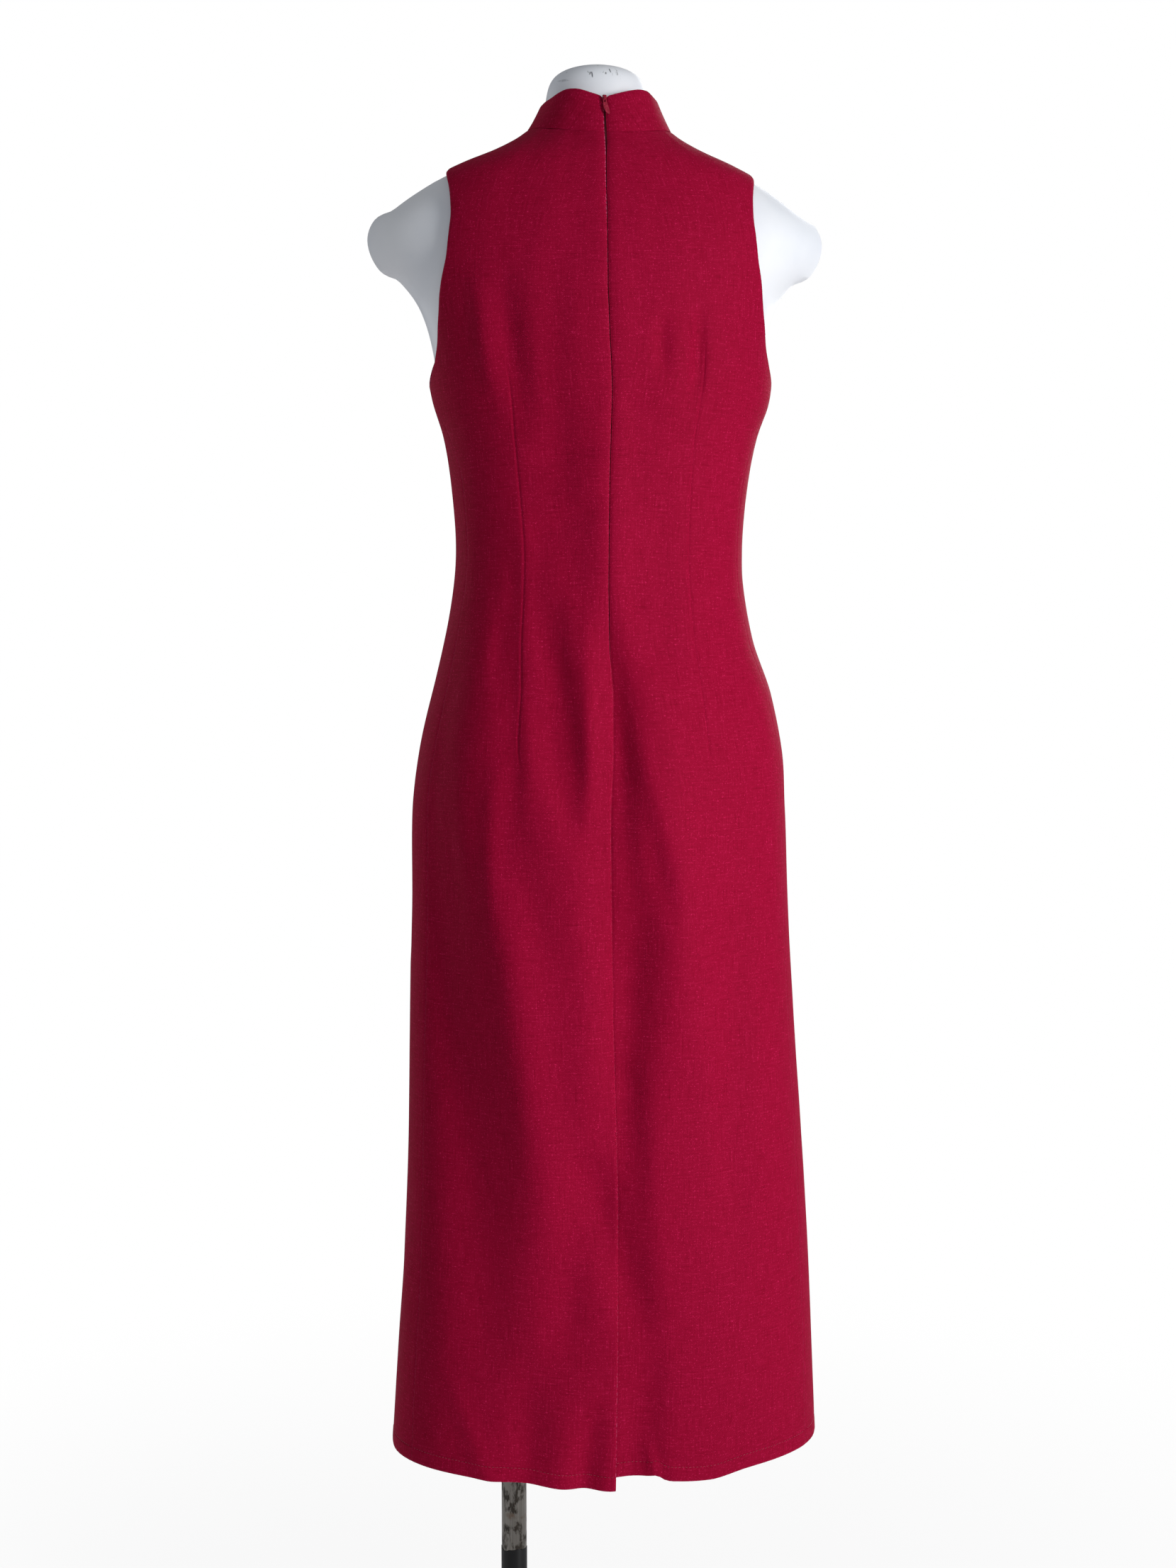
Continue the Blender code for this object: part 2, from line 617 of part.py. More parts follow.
def collar_half(side, material):
    """Half the collar, from centre back to centre front, its upper corners rounded."""
    around = np.linspace(0.0, 180.0, 181)
    ring = collar_point(side * around, 0.5 * np.ones_like(around))
    lengths = np.concatenate([[0.0], np.cumsum(np.linalg.norm(np.diff(ring, axis=0), axis=1))])
    total = lengths[-1]
    near_end = np.array(COLLAR_CORNER_STEPS) * COLLAR_CORNER
    panel_columns = np.concatenate([
        np.linspace(0.0, 90.0, BACK_COLUMNS),
        np.linspace(90.0, 180.0, (FRONT_COLUMNS + 1) // 2)[1:],
    ])
    middle = np.interp(panel_columns, around, lengths)
    middle = middle[(middle > 1.2 * COLLAR_CORNER) & (middle < total - 1.2 * COLLAR_CORNER)]
    places = np.concatenate([near_end, middle, total - near_end[::-1]])
    gap = 0.5 * SEAM_GAP
    angles = side * np.interp(np.clip(places, gap, total - gap), lengths, around)
    from_end = np.minimum(places, total - places)
    cut = np.clip(1.0 - from_end / COLLAR_CORNER, 0.0, 1.0)
    tall = collar_place("top", angles) - neck_level(angles)
    top_share = 1.0 - COLLAR_CORNER * (1.0 - np.sqrt(1.0 - cut * cut)) / tall
    share = np.linspace(0.0, 1.0, COLLAR_ROWS)[:, None] * top_share[None, :]
    angles = np.broadcast_to(angles, share.shape)
    if side > 0:
        angles = angles[:, ::-1]
        share = share[:, ::-1]
    outer = collar_point(angles, share)
    level = outer.copy()
    level[..., 0] -= along(SECTIONS, "shift", NECK_SIDE)
    level[..., 2] = 0.0
    level /= np.linalg.norm(level, axis=-1, keepdims=True)
    tilted = level.copy()
    tilted[..., 2] = COLLAR_INNER_TILT
    tilted /= np.linalg.norm(tilted, axis=-1, keepdims=True)
    above_seam = np.clip(share * COLLAR_ROWS, 0.0, 1.0)[..., None]
    inner = outer - (level + (tilted - level) * above_seam) * COLLAR_WALL
    name = "collar_left" if side > 0 else "collar_right"
    return closed_wall(name, outer, inner, material)


def form_point(angle, height):
    """Point of the dress form's trunk, inside the dress."""
    point = section_point(angle, height)
    normal = outward(section_point, angle, height)
    room = along(EASE, "room", height)
    back = np.cos(np.radians(np.asarray(angle, float)))
    room = room + ZIP_ROOM * back * back
    trunk = point - normal * (CLOTH_WALL + room)[..., None]
    return join_caps(trunk)


def join_caps(trunk):
    """Push the trunk's points out to the shoulder caps, with a soft blend."""
    height = trunk[..., 2]
    middle = along(SECTIONS, "shift", height)
    across = trunk[..., 0] - middle
    reach = np.hypot(across, trunk[..., 1])
    side = abs(across) / reach
    back = abs(trunk[..., 1]) / reach
    half_width = along(FORM_CAPS, "half_width", height)
    half_depth = along(FORM_CAPS, "half_depth", height)
    power = CAP_ROUNDNESS
    caps = ((side / half_width) ** power + (back / half_depth) ** power) ** (-1.0 / power)
    near = np.clip(1.0 - abs(caps - reach) / CAP_BLEND, 0.0, 1.0)
    joined = np.maximum(caps, reach) + 0.25 * CAP_BLEND * near * near
    inside = (height > FORM_CAPS[0].height) & (height < FORM_CAPS[-1].height)
    grown = np.where(inside, joined / reach, 1.0)
    out = trunk.copy()
    out[..., 0] = middle + across * grown
    out[..., 1] = trunk[..., 1] * grown
    return out


def dress_form(material):
    """Closed trunk: rounded foot, shoulders with rounded caps, plain neck."""
    angles = np.linspace(0.0, 360.0, FORM_SIDES, endpoint=False)
    rings = []
    for share in (0.0, 0.35, 0.7, 1.0):
        inset = FORM_FOOT_ROUNDING * (1.0 - math.sin(0.5 * math.pi * share))
        ring = form_point(angles, np.full(FORM_SIDES, FORM_FOOT + FORM_FOOT_ROUNDING))
        ring[:, 2] = FORM_FOOT + FORM_FOOT_ROUNDING * (1.0 - math.cos(0.5 * math.pi * share))
        away = ring[:, :2] / np.linalg.norm(ring[:, :2], axis=1, keepdims=True)
        ring[:, :2] -= away * inset
        rings.append(ring)
    trunk_rows = (
        0.83, 0.87, 0.91, 0.95, 0.99, 1.03, 1.07, 1.11, 1.15, 1.185, 1.215, 1.24, 1.262, 1.279,
        1.290, 1.302, 1.315, 1.328, 1.341, 1.353, 1.365, 1.377, 1.389, 1.400, NECK_JOIN,
    )
    for height in trunk_rows:
        rings.append(form_point(angles, np.full(FORM_SIDES, height)))
    side = np.sin(np.radians(angles))
    back = np.cos(np.radians(angles))
    for row in FORM_NECK:
        depth = np.where(back > 0, row.back, row.front)
        reach = 1.0 / np.sqrt((side / row.half_width) ** 2 + (back / depth) ** 2)
        ring = np.stack([NECK_SHIFT + reach * side, reach * back, np.full(FORM_SIDES, row.height)], axis=-1)
        rings.append(ring)
    points = [tuple(p) for ring in rings for p in ring]
    faces = []
    for i in range(len(rings) - 1):
        for j in range(FORM_SIDES):
            k = (j + 1) % FORM_SIDES
            low = i * FORM_SIDES
            high = low + FORM_SIDES
            faces.append((low + j, high + j, high + k, low + k))
    foot = len(points)
    middle = along(SECTIONS, "shift", FORM_FOOT)
    points.append((float(middle), 0.0, FORM_FOOT))
    points.append((NECK_SHIFT, 0.0, FORM_TOP))
    last = (len(rings) - 1) * FORM_SIDES
    for j in range(FORM_SIDES):
        k = (j + 1) % FORM_SIDES
        faces.append((foot, j, k))
        faces.append((foot + 1, last + k, last + j))
    mesh = outward_mesh("dress_form", points, faces)
    form = add_piece("dress_form", mesh, material, smooth_below=50.0)
    drill_socket(form)
    return form


def drill_socket(form):
    """Blind socket in the form's foot, where the pole stands."""
    bpy.ops.mesh.primitive_cylinder_add(
        vertices=TURNED_SIDES,
        radius=POLE_RADIUS + STAND_GAP,
        depth=2.0 * (POLE_IN_FORM + STAND_GAP),
        location=(POLE_X, 0.0, FORM_FOOT),
    )
    cutter = bpy.context.object
    cutter.name = "socket_cutter"
    cutter.hide_render = True
    cutter.display_type = "WIRE"
    cut = form.modifiers.new("socket", "BOOLEAN")
    cut.operation = "DIFFERENCE"
    cut.solver = "EXACT"
    cut.object = cutter


def zip_tape(material):
    """Tape and coil of the closed zip, behind the centre back seam."""
    levels = [float(row_height(level, 0.0)) for level in PANEL_ROWS]
    places = [(height, None) for height in levels if ZIP_BOTTOM < height < NECK_BACK - 0.003]
    places += [(None, share) for share in (0.12, 0.45, 0.78)]
    outer = []
    inner = []
    for height, share in places:
        for side in (ZIP_TAPE_HALF_WIDTH, 0.0, -ZIP_TAPE_HALF_WIDTH):
            if share is None:
                depth = float(section_point(0.0, height)[1])
                angle = math.degrees(math.atan2(side, depth))
                out = outward(dress_point, angle, height)
                face = dress_point(angle, height) - out * (CLOTH_WALL + ZIP_BEHIND)
            else:
                depth = float(collar_point(0.0, share)[1])
                angle = math.degrees(math.atan2(side, depth))
                out = np.array(COLLAR_BACK_NORMAL)
                face = collar_point(angle, share) - out * (COLLAR_WALL + ZIP_BEHIND)
            outer.append(face)
            inner.append(face - out * ZIP_TAPE_WALL)
    shape = (len(places), 3, 3)
    return closed_wall("zip_tape", np.reshape(outer, shape), np.reshape(inner, shape), material)


def zip_frame():
    """Place of the slider on the collar: its own X across, Y out of the collar, Z up along it."""
    share = 1.0 - SLIDER_BELOW_TOP / (COLLAR_LEFT[0].top - NECK_BACK)
    low = Vector(collar_point(0.0, share - 0.3))
    here = Vector(collar_point(0.0, share))
    up = (here - low).normalized()
    across = Vector((1.0, 0.0, 0.0))
    out = up.cross(across)
    place = Matrix((across, out, up)).transposed().to_4x4()
    place.translation = here
    return place


def slider_outline():
    """Shield outline of the slider, wide at its top."""
    half = 0.5 * SLIDER_WIDTH
    return [
        (-half, 0.30 * SLIDER_LENGTH),
        (-0.80 * half, 0.5 * SLIDER_LENGTH),
        (0.80 * half, 0.5 * SLIDER_LENGTH),
        (half, 0.30 * SLIDER_LENGTH),
        (half * SLIDER_TAPER, -0.5 * SLIDER_LENGTH),
        (-half * SLIDER_TAPER, -0.5 * SLIDER_LENGTH),
    ]


def zip_slider(place, material):
    """Slider body with the loop that holds the pull."""
    shape = bmesh.new()
    face_out = SEAM_GAP + SLIDER_DEPTH
    ring = [shape.verts.new((x, SEAM_GAP, z)) for x, z in slider_outline()]
    face = shape.faces.new(ring)
    lifted = bmesh.ops.extrude_face_region(shape, geom=[face])
    moved = [g for g in lifted["geom"] if isinstance(g, bmesh.types.BMVert)]
    bmesh.ops.translate(shape, verts=moved, vec=(0.0, SLIDER_DEPTH, 0.0))
    rim = [e for e in shape.edges if all(abs(v.co.y - face_out) < 1e-6 for v in e.verts)]
    bmesh.ops.bevel(shape, geom=rim, offset=SLIDER_BEVEL, segments=2, profile=0.5, affect="EDGES")
    bmesh.ops.recalc_face_normals(shape, faces=shape.faces)
    mesh = bpy.data.meshes.new("zip_slider")
    shape.to_mesh(mesh)
    shape.free()
    mesh.transform(place)
    body = add_piece("zip_slider", mesh, material, smooth_below=35.0)
    loop = slider_loop(place, face_out)
    join = body.modifiers.new("loop", "BOOLEAN")
    join.operation = "UNION"
    join.solver = "EXACT"
    join.object = loop
    return body


def slider_loop(place, face_out):
    """Arch of square wire that stands on the slider, hidden once it is joined on."""
    half = 0.5 * LOOP_WIRE
    arc = []
    for k in range(9):
        turn = math.pi * k / 8
        arc.append((face_out + (LOOP_REACH - half) * math.sin(turn), LOOP_HALF_LENGTH * math.cos(turn)))
    root = face_out - LOOP_ROOT
    path = [(root, LOOP_HALF_LENGTH)] + arc + [(root, -LOOP_HALF_LENGTH)]
    shape = bmesh.new()
    rings = []
    for k, (y, z) in enumerate(path):
        before = path[max(k - 1, 0)]
        after = path[min(k + 1, len(path) - 1)]
        run = Vector((0.0, after[0] - before[0], after[1] - before[1])).normalized()
        away = Vector((0.0, -run.z, run.y))
        centre = Vector((0.0, y, z))
        corners = [(-half, -half), (half, -half), (half, half), (-half, half)]
        rings.append([shape.verts.new(centre + Vector((a, 0, 0)) + away * b) for a, b in corners])
    for first, second in zip(rings, rings[1:]):
        for j in range(4):
            k = (j + 1) % 4
            shape.faces.new((first[j], first[k], second[k], second[j]))
    shape.faces.new(rings[0])
    shape.faces.new(rings[-1])
    bmesh.ops.recalc_face_normals(shape, faces=shape.faces)
    mesh = bpy.data.meshes.new("slider_loop")
    shape.to_mesh(mesh)
    shape.free()
    mesh.transform(place)
    loop = bpy.data.objects.new("slider_loop", mesh)
    bpy.context.scene.collection.objects.link(loop)
    loop.hide_render = True
    loop.display_type = "WIRE"
    return loop


def pull_outline():
    """Outline of the pull, its bar at the origin, hanging towards -Z."""
    right = [(row.shift + row.half_width, -row.below) for row in PULL_LEAF]
    left = [(row.shift - row.half_width, -row.below) for row in reversed(PULL_LEAF)]
    return right + left


def pull_eye():
    """Slot of the pull that the slider's loop passes through."""
    low = -(0.5 * PULL_BAR + PULL_EYE_LENGTH)
    high = -0.5 * PULL_BAR
    half = PULL_EYE_HALF_WIDTH
    return [(-half, high), (half, high), (half, low + 0.5 * half), (0.5 * half, low),
            (-0.5 * half, low), (-half, low + 0.5 * half)]


def zip_pull(place, material):
    """Pull tab; its origin is on the bar under the slider's loop, which is its hinge."""
    hinge = bpy.data.objects.new("pull_hinge", None)
    bpy.context.scene.collection.objects.link(hinge)
    bar_out = SEAM_GAP + SLIDER_DEPTH + PULL_HINGE_OUT
    hinge.matrix_world = place @ Matrix.Translation((0.0, bar_out, 0.0))
    half = 0.5 * PULL_THICKNESS
    shape = bmesh.new()
    outline = pull_outline()
    eye = pull_eye()
    layers = []
    for y in (-half, half):
        layers.append((
            [shape.verts.new((x, y, z)) for x, z in outline],
            [shape.verts.new((x, y, z)) for x, z in eye],
        ))
    for outer, inner in layers:
        edges = []
        for loop in (outer, inner):
            for a, b in zip(loop, loop[1:] + loop[:1]):
                edges.append(shape.edges.new((a, b)))
        bmesh.ops.triangle_fill(shape, use_beauty=True, edges=edges)
    for index in (0, 1):
        low = layers[0][index]
        high = layers[1][index]
        for j in range(len(low)):
            k = (j + 1) % len(low)
            shape.faces.new((low[j], low[k], high[k], high[j]))
    bmesh.ops.recalc_face_normals(shape, faces=shape.faces)
    mesh = bpy.data.meshes.new("zip_pull")
    shape.to_mesh(mesh)
    shape.free()
    pull = add_piece("zip_pull", mesh, material, smooth_below=35.0)
    pull.parent = hinge
    return pull


def turned_piece(name, profile, place, material):
    """Solid turned about a vertical axis from a profile of radius and height, top to bottom."""
    shape = bmesh.new()
    verts = [shape.verts.new((radius, 0.0, height)) for radius, height in profile]
    for a, b in zip(verts, verts[1:]):
        shape.edges.new((a, b))
    bmesh.ops.spin(
        shape,
        geom=shape.verts[:] + shape.edges[:],
        cent=(0, 0, 0),
        axis=(0, 0, 1),
        angle=2.0 * math.pi,
        steps=TURNED_SIDES,
    )
    bmesh.ops.remove_doubles(shape, verts=shape.verts, dist=0.00002)
    bmesh.ops.recalc_face_normals(shape, faces=shape.faces)
    mesh = bpy.data.meshes.new(name)
    shape.to_mesh(mesh)
    shape.free()
    piece = add_piece(name, mesh, material, smooth_below=35.0)
    piece.location = place
    return piece


def stand(steel, black):
    """Pole in two lengths, on a round base plate with a hub."""
    top = FORM_FOOT + POLE_IN_FORM - STAND_GAP
    bore = POLE_SPIGOT_RADIUS + STAND_GAP
    tail = POLE_STEEL_FOOT - POLE_SPIGOT_LENGTH
    at_pole = (POLE_X, 0.0, 0.0)
    steel_profile = [
        (0.0, top),
        (POLE_RADIUS, top),
        (POLE_RADIUS, POLE_STEEL_FOOT),
        (POLE_SPIGOT_RADIUS, POLE_STEEL_FOOT),
        (POLE_SPIGOT_RADIUS, tail),
        (0.0, tail),
    ]
    turned_piece("pole_steel", steel_profile, at_pole, steel)
    foot = BASE_THICKNESS + STAND_GAP
    sleeve_top = POLE_STEEL_FOOT - STAND_GAP
    sleeve_profile = [
        (bore, tail - STAND_GAP),
        (bore, sleeve_top),
        (SLEEVE_RADIUS, sleeve_top),
        (SLEEVE_RADIUS, foot),
        (0.0, foot),
        (0.0, tail - STAND_GAP),
        (bore, tail - STAND_GAP),
    ]
    turned_piece("pole_sleeve", sleeve_profile, at_pole, black)
    hub_bore = SLEEVE_RADIUS + STAND_GAP
    hub_profile = [
        (hub_bore, foot),
        (hub_bore, HUB_HEIGHT),
        (HUB_RADIUS - 3.0 * HUB_BEVEL, HUB_HEIGHT),
        (HUB_RADIUS - HUB_BEVEL, foot + 1.6 * HUB_BEVEL),
        (HUB_RADIUS, foot + HUB_BEVEL),
        (HUB_RADIUS, foot),
        (hub_bore, foot),
    ]
    turned_piece("base_hub", hub_profile, at_pole, black)
    base_profile = [
        (0.0, BASE_THICKNESS),
        (BASE_RADIUS - BASE_BEVEL, BASE_THICKNESS),
        (BASE_RADIUS - 0.3 * BASE_BEVEL, BASE_THICKNESS - 0.3 * BASE_BEVEL),
        (BASE_RADIUS, BASE_THICKNESS - BASE_BEVEL),
        (BASE_RADIUS, 0.0),
        (0.0, 0.0),
    ]
    turned_piece("base_plate", base_profile, (0.0, 0.0, 0.0), black)


def main():
    for old in list(bpy.data.objects):
        bpy.data.objects.remove(old, do_unlink=True)
    red_cloth = finish_material("red_cloth", RED_CLOTH)
    red_zip = finish_material("red_zip_tape", RED_ZIP_TAPE)
    red_metal = finish_material("red_metal", RED_METAL)
    white_shell = finish_material("white_shell", WHITE_SHELL)
    steel = finish_material("worn_steel", WORN_STEEL)
    black = finish_material("black_paint", BLACK_PAINT)
    front_panel(red_cloth)
    back_panel(+1, red_cloth)
    back_panel(-1, red_cloth)
    collar_half(+1, red_cloth)
    collar_half(-1, red_cloth)
    zip_tape(red_zip)
    place = zip_frame()
    zip_slider(place, red_metal)
    zip_pull(place, red_metal)
    dress_form(white_shell)
    stand(steel, black)


main()
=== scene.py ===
"""Looks of a sleeveless sheath dress with a stand collar, on its dress form.

Metres, +Z up, the figure's front towards -Y and the wearer's left towards +X.
Angles round the figure are in degrees from centre back (0) over the wearer's
left side (90) to centre front (180); the wearer's right side is negative.
"""

import math
from collections import namedtuple

import bmesh
import bpy
import numpy as np
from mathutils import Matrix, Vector
from mathutils.kdtree import KDTree


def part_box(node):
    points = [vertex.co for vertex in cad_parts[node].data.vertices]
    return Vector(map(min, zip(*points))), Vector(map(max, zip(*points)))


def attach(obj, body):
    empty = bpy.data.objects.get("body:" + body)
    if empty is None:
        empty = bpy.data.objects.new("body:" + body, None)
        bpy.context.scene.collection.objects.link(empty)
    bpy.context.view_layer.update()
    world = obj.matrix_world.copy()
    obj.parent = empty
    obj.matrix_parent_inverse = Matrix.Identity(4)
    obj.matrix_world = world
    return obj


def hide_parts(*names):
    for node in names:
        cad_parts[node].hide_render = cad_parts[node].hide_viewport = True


BODY = "dress_and_form"
PULL_BODY = "pull_tab"
CUT_MAP = "cut"
# Attribute of how much the cloth's edges are lightened: wear, and a painted highlight along the centre back's lip
WEAR_AND_HIGHLIGHT_ATTRIBUTE = "wear_and_highlight"

# Camera, as the photograph was taken: from behind, a little to the wearer's left
FOCAL_PIXELS = 2960
PHOTO_LONG_SIDE = 2212
SENSOR = 36.0
CAMERA_PLACE = (0.1678, 1.8424, 1.016)
CAMERA_TURN = 5.0
CAMERA_TILT = 4.943

# Cloth
CLOTH_WALL = 0.0013
COLLAR_WALL = 0.0020
SEAM_GAP = 0.0004
CLOSE_GAP = 0.00012
SIDE_SEAM_ANGLE = 74.0
SIDE_SEAM_TURN = 12.0
SIDE_SEAM_TURN_START = 1.120
COLUMN_STEP_BACK = 0.0031
COLUMN_STEP_FRONT = 0.0046
ROW_STEP = 0.0036
EDGE_ROLL = 0.0007
EDGE_ROLL_REACH = 0.0012
SEWN_ROLL = 0.00022
SEWN_ROLL_REACH = 0.0010
# Reach of the lightened edges: wear, and the painted highlight along the centre back's lip
WEAR_AND_HIGHLIGHT_REACH = 0.0006
LIP_RISE = 0.0010
LIP_REACH = 0.0050
LIP_FADE = 0.022
OVER_LIP = 0.0004
NEAR_LINE = (0.0, 0.0004, 0.0009, 0.0015, 0.0023, 0.0034)

# Gap between the two back panels, wider where the zip shows, widest below its slider
Gap = namedtuple("Gap", "height width")
CENTRE_GAP = (
    Gap(0.250, 0.0001),
    Gap(0.955, 0.0001),
    Gap(0.990, 0.0007),
    Gap(1.380, 0.0008),
    Gap(1.400, 0.0019),
    Gap(1.418, 0.0021),
)
COLLAR_BACK_GAP = 0.0019

# How much the centre back's edge is lightened, at each height: by wear, and along the lip that laps over also by a
# painted highlight where it catches the light
WearAndHighlight = namedtuple("WearAndHighlight", "height strength")
LIP_WEAR_AND_HIGHLIGHT = (
    WearAndHighlight(0.250, 0.80),
    WearAndHighlight(0.330, 0.45),
    WearAndHighlight(0.450, 0.22),
    WearAndHighlight(0.600, 0.14),
    WearAndHighlight(1.200, 0.16),
    WearAndHighlight(1.320, 0.30),
    WearAndHighlight(1.345, 0.85),
    WearAndHighlight(1.418, 1.00),
)

# Levels of the dress
SKIRT_TOP = 0.62
VENT_TOP = 0.603
VENT_SLANT = 0.030
VENT_STEP_TOP = 0.653
VENT_STEP_RUN = 0.034
VENT_STEP_START = 0.030
VENT_STEP_BREADTH = 0.026
VENT_UNDERLAP = 0.040
VENT_ROOM = 0.0018
ARMHOLE_BOTTOM = 1.202
YOKE_LEVEL = 1.300
NECK_SIDE = 1.418
NECK_BACK = 1.4065
NECK_FRONT = 1.370
LOWEST_LEVEL = 0.255

# Sections of the dress from hem to neck: outer half width, sideways shift of the
# middle, depth behind and before the axis, and roundness (2 is an ellipse)
Section = namedtuple("Section", "height half_width shift back front roundness")
SECTIONS = (
    Section(0.240, 0.1935, -0.0085, 0.107, 0.100, 2.25),
    Section(0.350, 0.1872, -0.0095, 0.109, 0.099, 2.25),
    Section(0.450, 0.1812, -0.0103, 0.111, 0.098, 2.20),
    Section(0.550, 0.1759, -0.0090, 0.113, 0.099, 2.20),
    Section(0.650, 0.1712, -0.0062, 0.116, 0.101, 2.15),
    Section(0.750, 0.1672, -0.0040, 0.120, 0.104, 2.10),
    Section(0.835, 0.1646, -0.0031, 0.121, 0.106, 2.10),
    Section(0.885, 0.1600, -0.0052, 0.116, 0.106, 2.10),
    Section(0.935, 0.1494, -0.0058, 0.108, 0.104, 2.10),
    Section(0.985, 0.1352, -0.0032, 0.096, 0.099, 2.10),
    Section(1.035, 0.1268, -0.0030, 0.086, 0.094, 2.10),
    Section(1.060, 0.1257, -0.0034, 0.084, 0.093, 2.10),
    Section(1.110, 0.1290, -0.0037, 0.087, 0.098, 2.10),
    Section(1.158, 0.1368, -0.0044, 0.093, 0.112, 2.10),
    Section(1.190, 0.1470, -0.0050, 0.098, 0.121, 2.05),
    Section(1.210, 0.1500, -0.0042, 0.101, 0.122, 2.05),
    Section(1.230, 0.1516, -0.0030, 0.102, 0.119, 2.05),
    Section(1.253, 0.1550, -0.0020, 0.103, 0.115, 2.00),
    Section(1.277, 0.1600, -0.0010, 0.103, 0.108, 2.00),
    Section(1.300, 0.1660, -0.0010, 0.101, 0.101, 2.00),
    Section(1.327, 0.1680, -0.0010, 0.097, 0.092, 2.00),
    Section(1.352, 0.1610, -0.0010, 0.090, 0.081, 2.00),
    Section(1.376, 0.1455, -0.0015, 0.081, 0.069, 2.00),
    Section(1.388, 0.1225, -0.0020, 0.076, 0.063, 2.00),
    Section(1.400, 0.0935, -0.0025, 0.069, 0.058, 2.00),
    Section(1.410, 0.0740, -0.0025, 0.063, 0.055, 2.00),
    Section(1.418, 0.0625, -0.0025, 0.059, 0.053, 2.00),
)

# Edge of each armhole: how far round the figure each panel reaches, counted
# from centre back and from centre front
Armhole = namedtuple("Armhole", "height back_reach front_reach")
ARMHOLE = (
    Armhole(1.2020, 86.0, 94.0),
    Armhole(1.2028, 85.7, 91.5),
    Armhole(1.2042, 85.0, 89.0),
    Armhole(1.2068, 83.6, 86.3),
    Armhole(1.2108, 81.4, 83.0),
    Armhole(1.2170, 78.8, 79.0),
    Armhole(1.2300, 75.6, 73.0),
    Armhole(1.2550, 72.2, 66.0),
    Armhole(1.2800, 68.5, 61.5),
    Armhole(1.3050, 65.0, 58.5),
    Armhole(1.3300, 64.5, 59.0),
    Armhole(1.3520, 67.0, 63.0),
    Armhole(1.3700, 72.0, 70.5),
    Armhole(1.3790, 77.5, 77.0),
    Armhole(1.3845, 83.5, 83.5),
    Armhole(1.3880, 90.0, 90.0),
)

# Hem level round the figure
HemLevel = namedtuple("HemLevel", "angle height")
HEM_LEFT = (
    HemLevel(0.0, 0.2537),
    HemLevel(24.0, 0.2566),
    HemLevel(43.0, 0.2610),
    HemLevel(60.0, 0.2638),
    HemLevel(90.0, 0.2650),
    HemLevel(180.0, 0.2590),
)
HEM_RIGHT = (
    HemLevel(0.0, 0.2650),
    HemLevel(14.5, 0.2650),
    HemLevel(18.2, 0.2664),
    HemLevel(21.0, 0.2628),
    HemLevel(28.0, 0.2605),
    HemLevel(39.0, 0.2592),
    HemLevel(52.0, 0.2643),
    HemLevel(65.0, 0.2668),
    HemLevel(90.0, 0.2685),
    HemLevel(180.0, 0.2590),
)
HEM_DEPTH = 0.0125
HEM_BAND_OUT = 0.00025
HEM_STITCH_DIP = 0.0004

